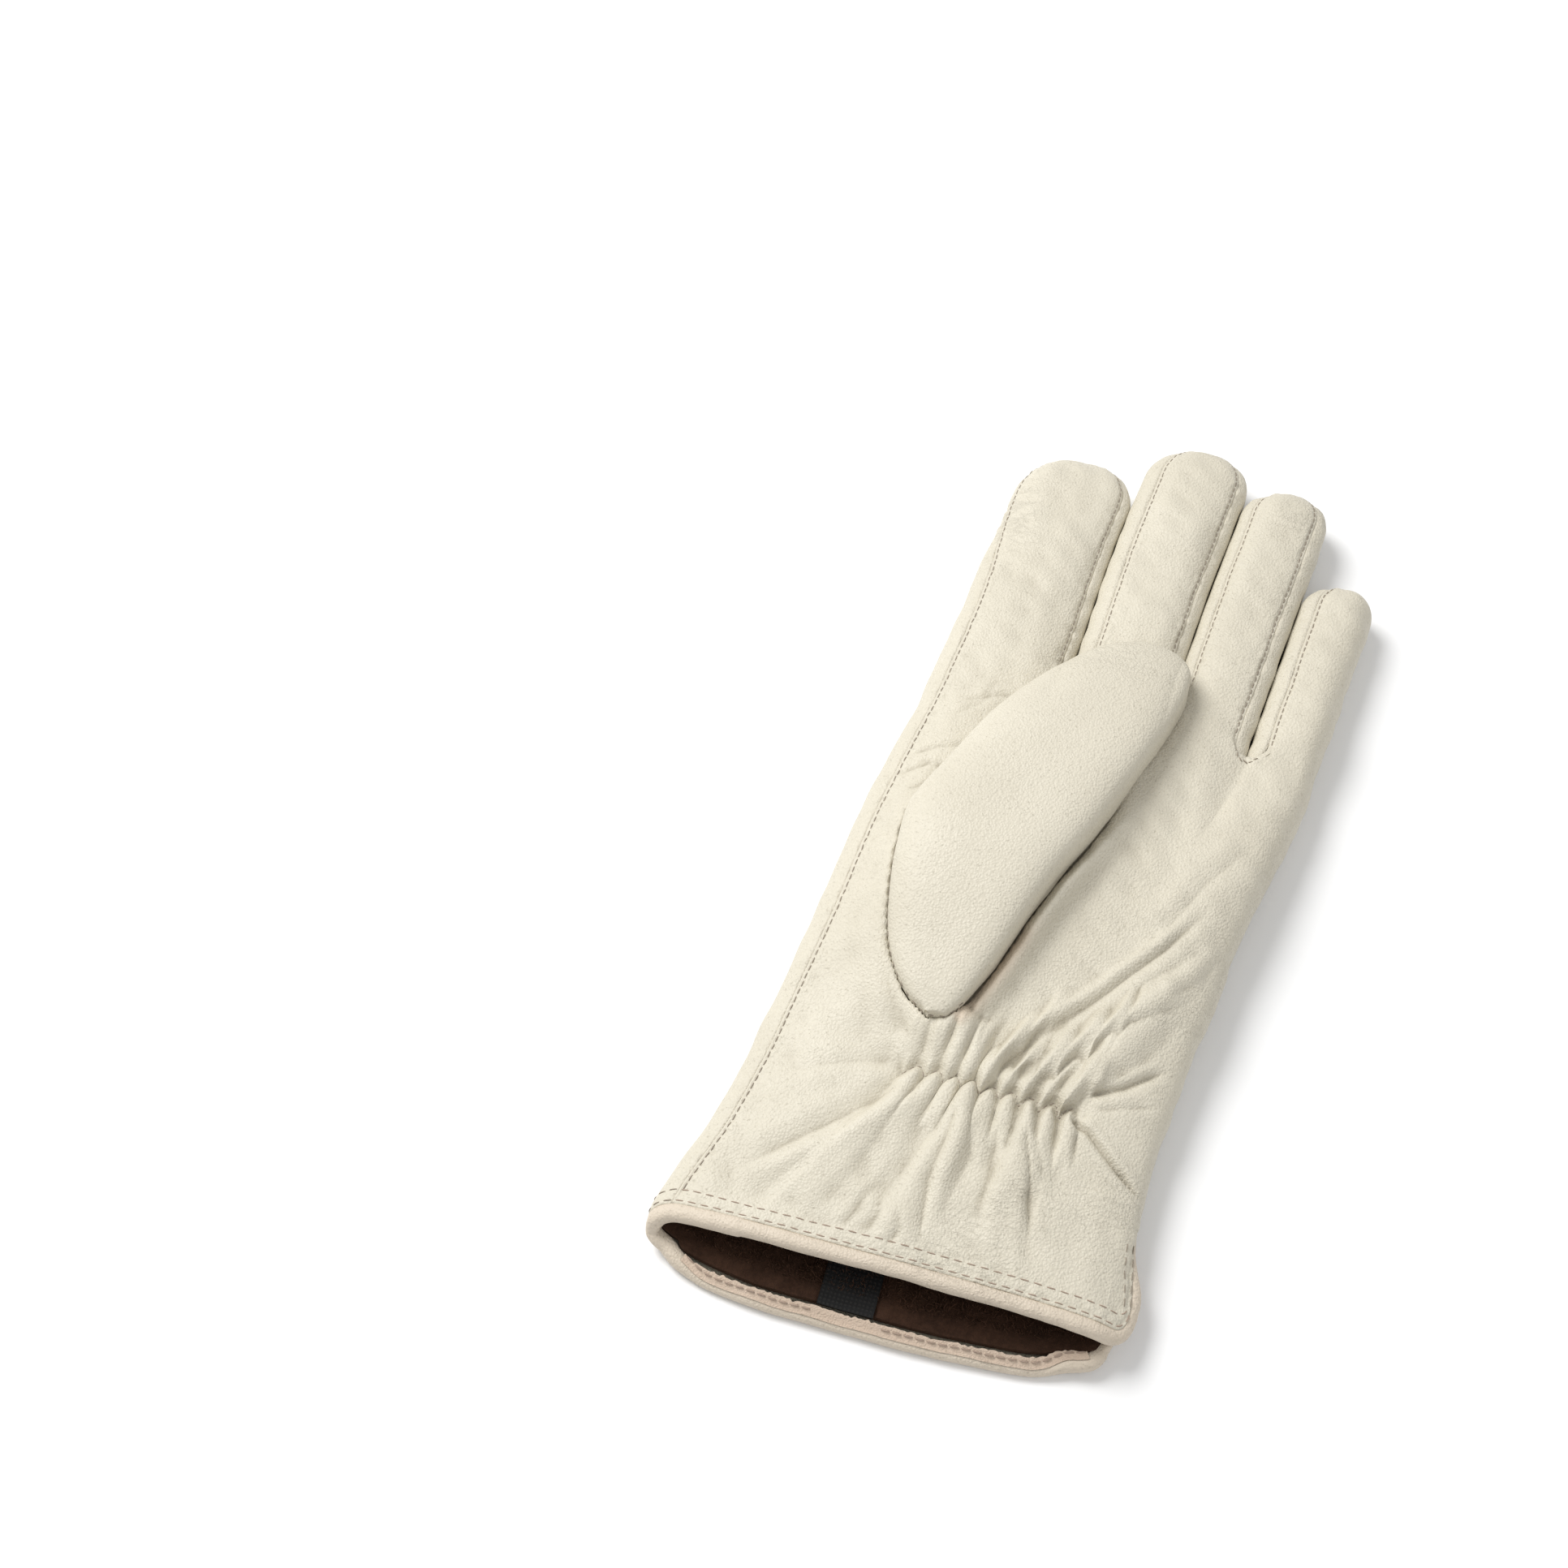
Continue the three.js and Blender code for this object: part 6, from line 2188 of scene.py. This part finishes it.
@dataclass
class PileLining(Part):
    """The brown pile inside the cuff, with its standing fibres."""

    cell: float = 1.0
    fibres: int = 30000
    fibre_length: float = 1.9
    fibre_width: float = 0.11
    depth: float = 62

    def sheet(self) -> Array:
        """The skin that the lining follows, from the vent on the palm round to the vent on the back.

        Returns:
            A grid of points.
        """
        layout = self.layout
        count = int(layout.vent_length / self.cell)
        deep = int((self.depth - layout.vent_length) / self.cell)
        wrist = (self.depth - layout.vent_length) / (layout.gather_along - layout.vent_length)
        zones = np.concatenate([np.zeros(count), np.full(deep, 1)])
        shares = np.concatenate([np.arange(count) / count, np.linspace(0, wrist, deep)])
        rows = Rows(zones[:, None], shares[:, None])
        loose = Gathers(below=table(""), above=table(""))
        palm = [layout.palm_strip(f, np.linspace(0, 1, 23), rows, loose)[:, :-1] for f in range(4)]
        palm.append(layout.palm_wrap(np.linspace(0, 1, 9), rows))
        top = np.concatenate(palm, axis=1)[:, ::-1]
        under = [layout.back_index_wrap(np.linspace(0, 1, 15), rows)[:, 1:]]
        under += [layout.back_strip(f, np.linspace(0, 1, 26), rows)[:, 1:] for f in range(4)]
        under.append(layout.back_little_edge(np.linspace(0, 1, 7), rows)[:, 1:])
        return np.concatenate([top] + under, axis=1)

    def make(self) -> None:
        """Makes the lining."""
        layout = self.layout
        sheet = self.sheet()
        normals = -grid_normals(sheet)
        sheet = sheet + self.draw_in(sheet)
        inner = sheet - normals * layout.skin_to_inside
        relief = 0.22 * Ripples(61, 2, 7).at(inner.reshape(-1, 3)).reshape(inner.shape[:2]) + 0.1
        inner = inner - normals * relief[..., None]
        outer = sheet - normals * (layout.leather + layout.lining_gap)
        piece = Piece("lining")
        piece.add_grid(inner)
        piece.add_grid(outer, flipped=True)
        piece.add_grid(np.stack([outer[0], inner[0]]))
        self.add_fibres(piece, inner, normals)
        self.finish(piece, Slot.BROWN_PILE, self.finishes.pile)

    def draw_in(self, sheet: Array) -> Array:
        """How far the first rows move in from the panels' edges."""
        fade = (1 - np.clip(np.arange(len(sheet)) / 6, 0, 1))[:, None, None]
        return unit(np.gradient(sheet, axis=0)) * 3 * self.layout.clearance * fade

    def add_fibres(self, piece: Piece, inner: Array, normals: Array) -> None:
        """Adds fibres that stand on the visible pile.

        Args:
            piece: The lining.
            inner: The grid that they stand on.
            normals: Its normals, which look into the leather.
        """
        random = np.random.default_rng(71)
        rows, columns = inner.shape[:2]
        row = random.uniform(3.2, min(rows - 2, 44), self.fibres)
        column = random.uniform(0, columns - 2, self.fibres)
        i, j = row.astype(int), column.astype(int)
        u, v = (row - i)[:, None], (column - j)[:, None]
        foot = mix(mix(inner[i, j], inner[i, j + 1], v), mix(inner[i + 1, j], inner[i + 1, j + 1], v), u)
        lean = unit(-normals[i, j] + 0.55 * random.normal(size=(self.fibres, 3)))
        side = unit(np.cross(lean, random.normal(size=(self.fibres, 3))))
        length = self.fibre_length * random.uniform(0.4, 1, (self.fibres, 1))
        bend = 0.35 * random.normal(size=(self.fibres, 3))
        knee = foot + lean * length * 0.55
        tip = foot + lean * length + bend
        tip[:, 2] = np.maximum(tip[:, 2], 0.4)
        side = side * self.fibre_width
        corners = [foot - side, foot + side, knee + side * 0.8, knee - side * 0.8, tip]
        base = np.arange(self.fibres)[:, None] * 5
        quads = (base + np.array([0, 1, 2, 3])).tolist()
        ends = (base + np.array([3, 2, 4])).tolist()
        # Each fibre's share from foot to tip goes into the seam mark, which lightens the pile towards the
        # tips.
        tips = np.tile([0, 0, 0.5, 0.5, 1.0], self.fibres)
        piece.add(np.stack(corners, axis=1), quads + ends, 0, np.stack([tips, 0 * tips], axis=1))


@dataclass
class Label:
    """The bare woven label inside the back."""

    width: float = 12
    length: float = 15
    thickness: float = 0.8
    across: float = 45
    hem_share: float = 0.45

    def middle(self, layout: Layout) -> Array:
        """Finds the label's middle.

        Args:
            layout: The glove's layout.

        Returns:
            The point.
        """
        rest = layout.skin_to_inside + layout.clearance
        y = float(layout.back_hem(self.hem_share)) + self.length / 2 + layout.clearance
        return np.array([self.across, y, rest + self.thickness / 2])

    def make(self, placing: Placing, finishes: Finishes, layout: Layout) -> None:
        """Makes the label, slightly curled, with folded ends.

        Args:
            placing: Where the layout lies.
            finishes: The materials.
            layout: The glove's layout.
        """
        middle = self.middle(layout)
        across = np.linspace(-0.5, 0.5, 25)
        along = np.linspace(-0.5, 0.5, 31)
        u, v = np.meshgrid(across, along)
        curl = 0.35 * (2 * u) ** 2 + 0.25 * np.sin(v * 7 + 1) * 0.5
        fold = 0.25 * (bell(v - 0.42, 0.05) + bell(v + 0.42, 0.05))
        top = middle + stack(u * self.width, v * self.length, self.thickness * (curl + fold))
        bottom = top - np.array([0, 0, self.thickness * 0.55])
        piece = Piece("label")
        piece.add_grid(top)
        piece.add_grid(bottom, flipped=True)
        piece.add_grid(np.stack([self.rim(top), self.rim(bottom)]), flipped=True, joined=True)
        piece.make(placing, [finishes.weave], Slot.BLACK_WEAVE)

    def rim(self, grid: Array) -> Array:
        """The points round a grid."""
        return np.concatenate([grid[0], grid[1:, -1], grid[-1, :-1][::-1], grid[1:-1, 0][::-1]])


@dataclass
class Braid(Part):
    """Leather that is slit and looped through itself along the back, up to the tip of a finger."""

    finger: int
    name: str
    per_pitch: int = 18

    def make(self) -> None:
        """Makes two flat strands that pass over and under each other, and the slits' edges."""
        layout = self.layout
        start, end = layout.braid_start + 1.5, layout.braid_end(self.finger) - layout.clearance
        turns = round((end - start) / layout.braid_pitch)
        y = np.linspace(start, end, turns * self.per_pitch + 1)
        x = layout.braid_x(self.finger, y)
        phase = (y - start) / (end - start) * turns * math.pi
        middle = layout.braid_thickness / 2
        piece = Piece(self.name)
        for strand in (0, math.pi):
            swing = 0.85 * np.sin(phase + strand)
            height = middle + 0.16 * np.cos(2 * phase + strand)
            centre = stack(x + swing, y, height)
            way = unit(np.gradient(centre, axis=0))
            side = unit(np.cross(way, np.array([0, 0, 1.0])))
            angles = circle(12)
            half = 0.95 + 0.12 * np.cos(2 * phase)
            ring = centre[:, None] + (half[:, None] * np.cos(angles)[None])[..., None] * side[:, None]
            ring[..., 2] += 0.36 * squarish(np.sin(angles), 0.6)
            ring[..., 2] = np.clip(ring[..., 2], 0, layout.braid_thickness + 0.15)
            piece.add_grid(ring, joined=True)
        angles = circle(10)
        for number in range(turns):
            spot = start + (number + 0.5) * (end - start) / turns
            side = 1 if number % 2 else -1
            centre = np.array([float(layout.braid_x(self.finger, spot)) + side * 1.75, spot, 0.75])
            rim = centre + stack(0.5 * np.cos(angles), 0.7 * np.sin(angles), 0)
            top = centre + stack(0.3 * np.cos(angles), 0.45 * np.sin(angles), -0.3)
            piece.add_grid(np.stack([rim, top]), 1, joined=True)
            piece.add(top, [list(range(len(angles)))[::-1]], 1)
        self.finish(piece, Slot.CREAM_LEATHER, self.finishes.cream, self.finishes.hole)


@dataclass
class Studio:
    """Floor, light and camera.

    Attributes:
        camera_place: Where the camera stands, in the layout's millimetres.
        camera_aim: What it looks at.
        focal_pixels: Its focal length in pixels of the photograph.
        image_size: The photograph's width in pixels.
        sensor: Width of the sensor in millimetres.
        floor_size: Width of the floor in metres.
        lamps: Each lamp's name, place to the right, ahead and up in metres, size and power.
    """

    camera_place: tuple[float, float, float] = (76.4, -157.4, 436.8)
    camera_aim: tuple[float, float, float] = (-4.26, 117.95, 0)
    focal_pixels: float = 2667.84
    image_size: float = 1932
    sensor: float = 36
    floor_size: float = 6
    sky_strength: float = 0.46
    lamps: tuple[tuple[str, float, float, float, float, float], ...] = (
        ("key light", -0.52, 0.38, 0.82, 0.6, 10.0),
        ("fill light", 0.4, -0.5, 0.9, 0.9, 2.2),
    )

    def make(self, placing: Placing) -> None:
        """Sets the studio.

        Args:
            placing: Where the layout lies.
        """
        scene = bpy.context.scene
        scene.view_settings.view_transform = "Standard"
        place = Vector(placing.metres(self.camera_place))
        aim = Vector(placing.metres(self.camera_aim))
        camera = bpy.data.cameras.new("camera")
        camera.sensor_width = self.sensor
        camera.lens = self.focal_pixels / self.image_size * self.sensor
        camera.clip_start = 0.01
        rig = bpy.data.objects.new("camera", camera)
        rig.location = place
        rig.rotation_euler = (aim - place).to_track_quat("-Z", "Y").to_euler()
        scene.collection.objects.link(rig)
        scene.camera = rig
        self.lay_floor()
        self.hang_lights(place, aim)

    def lay_floor(self) -> None:
        """Lays a plain pale floor."""
        half = self.floor_size / 2
        mesh = bpy.data.meshes.new("floor")
        corners = [(-half, -half, 0), (half, -half, 0), (half, half, 0), (-half, half, 0)]
        mesh.from_pydata(corners, [], [(0, 1, 2, 3)])
        shader = Shader("pale floor")
        shader.feed({"Base Color": (0.93, 0.93, 0.93, 1), "Roughness": 0.9, "Specular IOR Level": 0.1})
        mesh.materials.append(shader.material)
        floor = bpy.data.objects.new("floor", mesh)
        bpy.context.scene.collection.objects.link(floor)

    def hang_lights(self, place: Vector, aim: Vector) -> None:
        """Hangs a soft key light, a fill and a white sky.

        Args:
            place: Where the camera stands.
            aim: What it looks at.
        """
        ahead = Vector((aim.x - place.x, aim.y - place.y, 0)).normalized()
        right = Vector((ahead.y, -ahead.x, 0))
        for name, across, away, height, size, power in self.lamps:
            lamp = bpy.data.lights.new(name, "AREA")
            lamp.shape = "DISK"
            lamp.size = size
            lamp.energy = power
            rig = bpy.data.objects.new(name, lamp)
            rig.location = right * across + ahead * away + Vector((0, 0, height))
            rig.rotation_euler = (-rig.location).to_track_quat("-Z", "Y").to_euler()
            bpy.context.scene.collection.objects.link(rig)
        world = bpy.data.worlds.new("sky")
        world.use_nodes = True
        sky = world.node_tree.nodes["Background"]
        sky.inputs["Color"].default_value = (1, 1, 1, 1)
        sky.inputs["Strength"].default_value = self.sky_strength
        bpy.context.scene.world = world


def main() -> None:
    """Builds the glove and its studio."""
    logging.basicConfig(level=logging.INFO, format="%(name)s: %(message)s")
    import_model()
    layout = Layout()
    label = Label()
    placing = Placing(label, layout)
    finishes = Finishes()
    Studio().make(placing)
    shared = (layout, placing, finishes)
    thumb = ThumbPouch(*shared)
    shell = Shell(*shared, thumb)
    for part in (shell, thumb, HemBinding(*shared, shell), PileLining(*shared)):
        part.make()
    label.make(placing, finishes, layout)
    for f, name in ((0, "braid_index_side"), (3, "braid_little_side")):
        Braid(*shared, f, name).make()


if __name__ == "__main__":
    main()
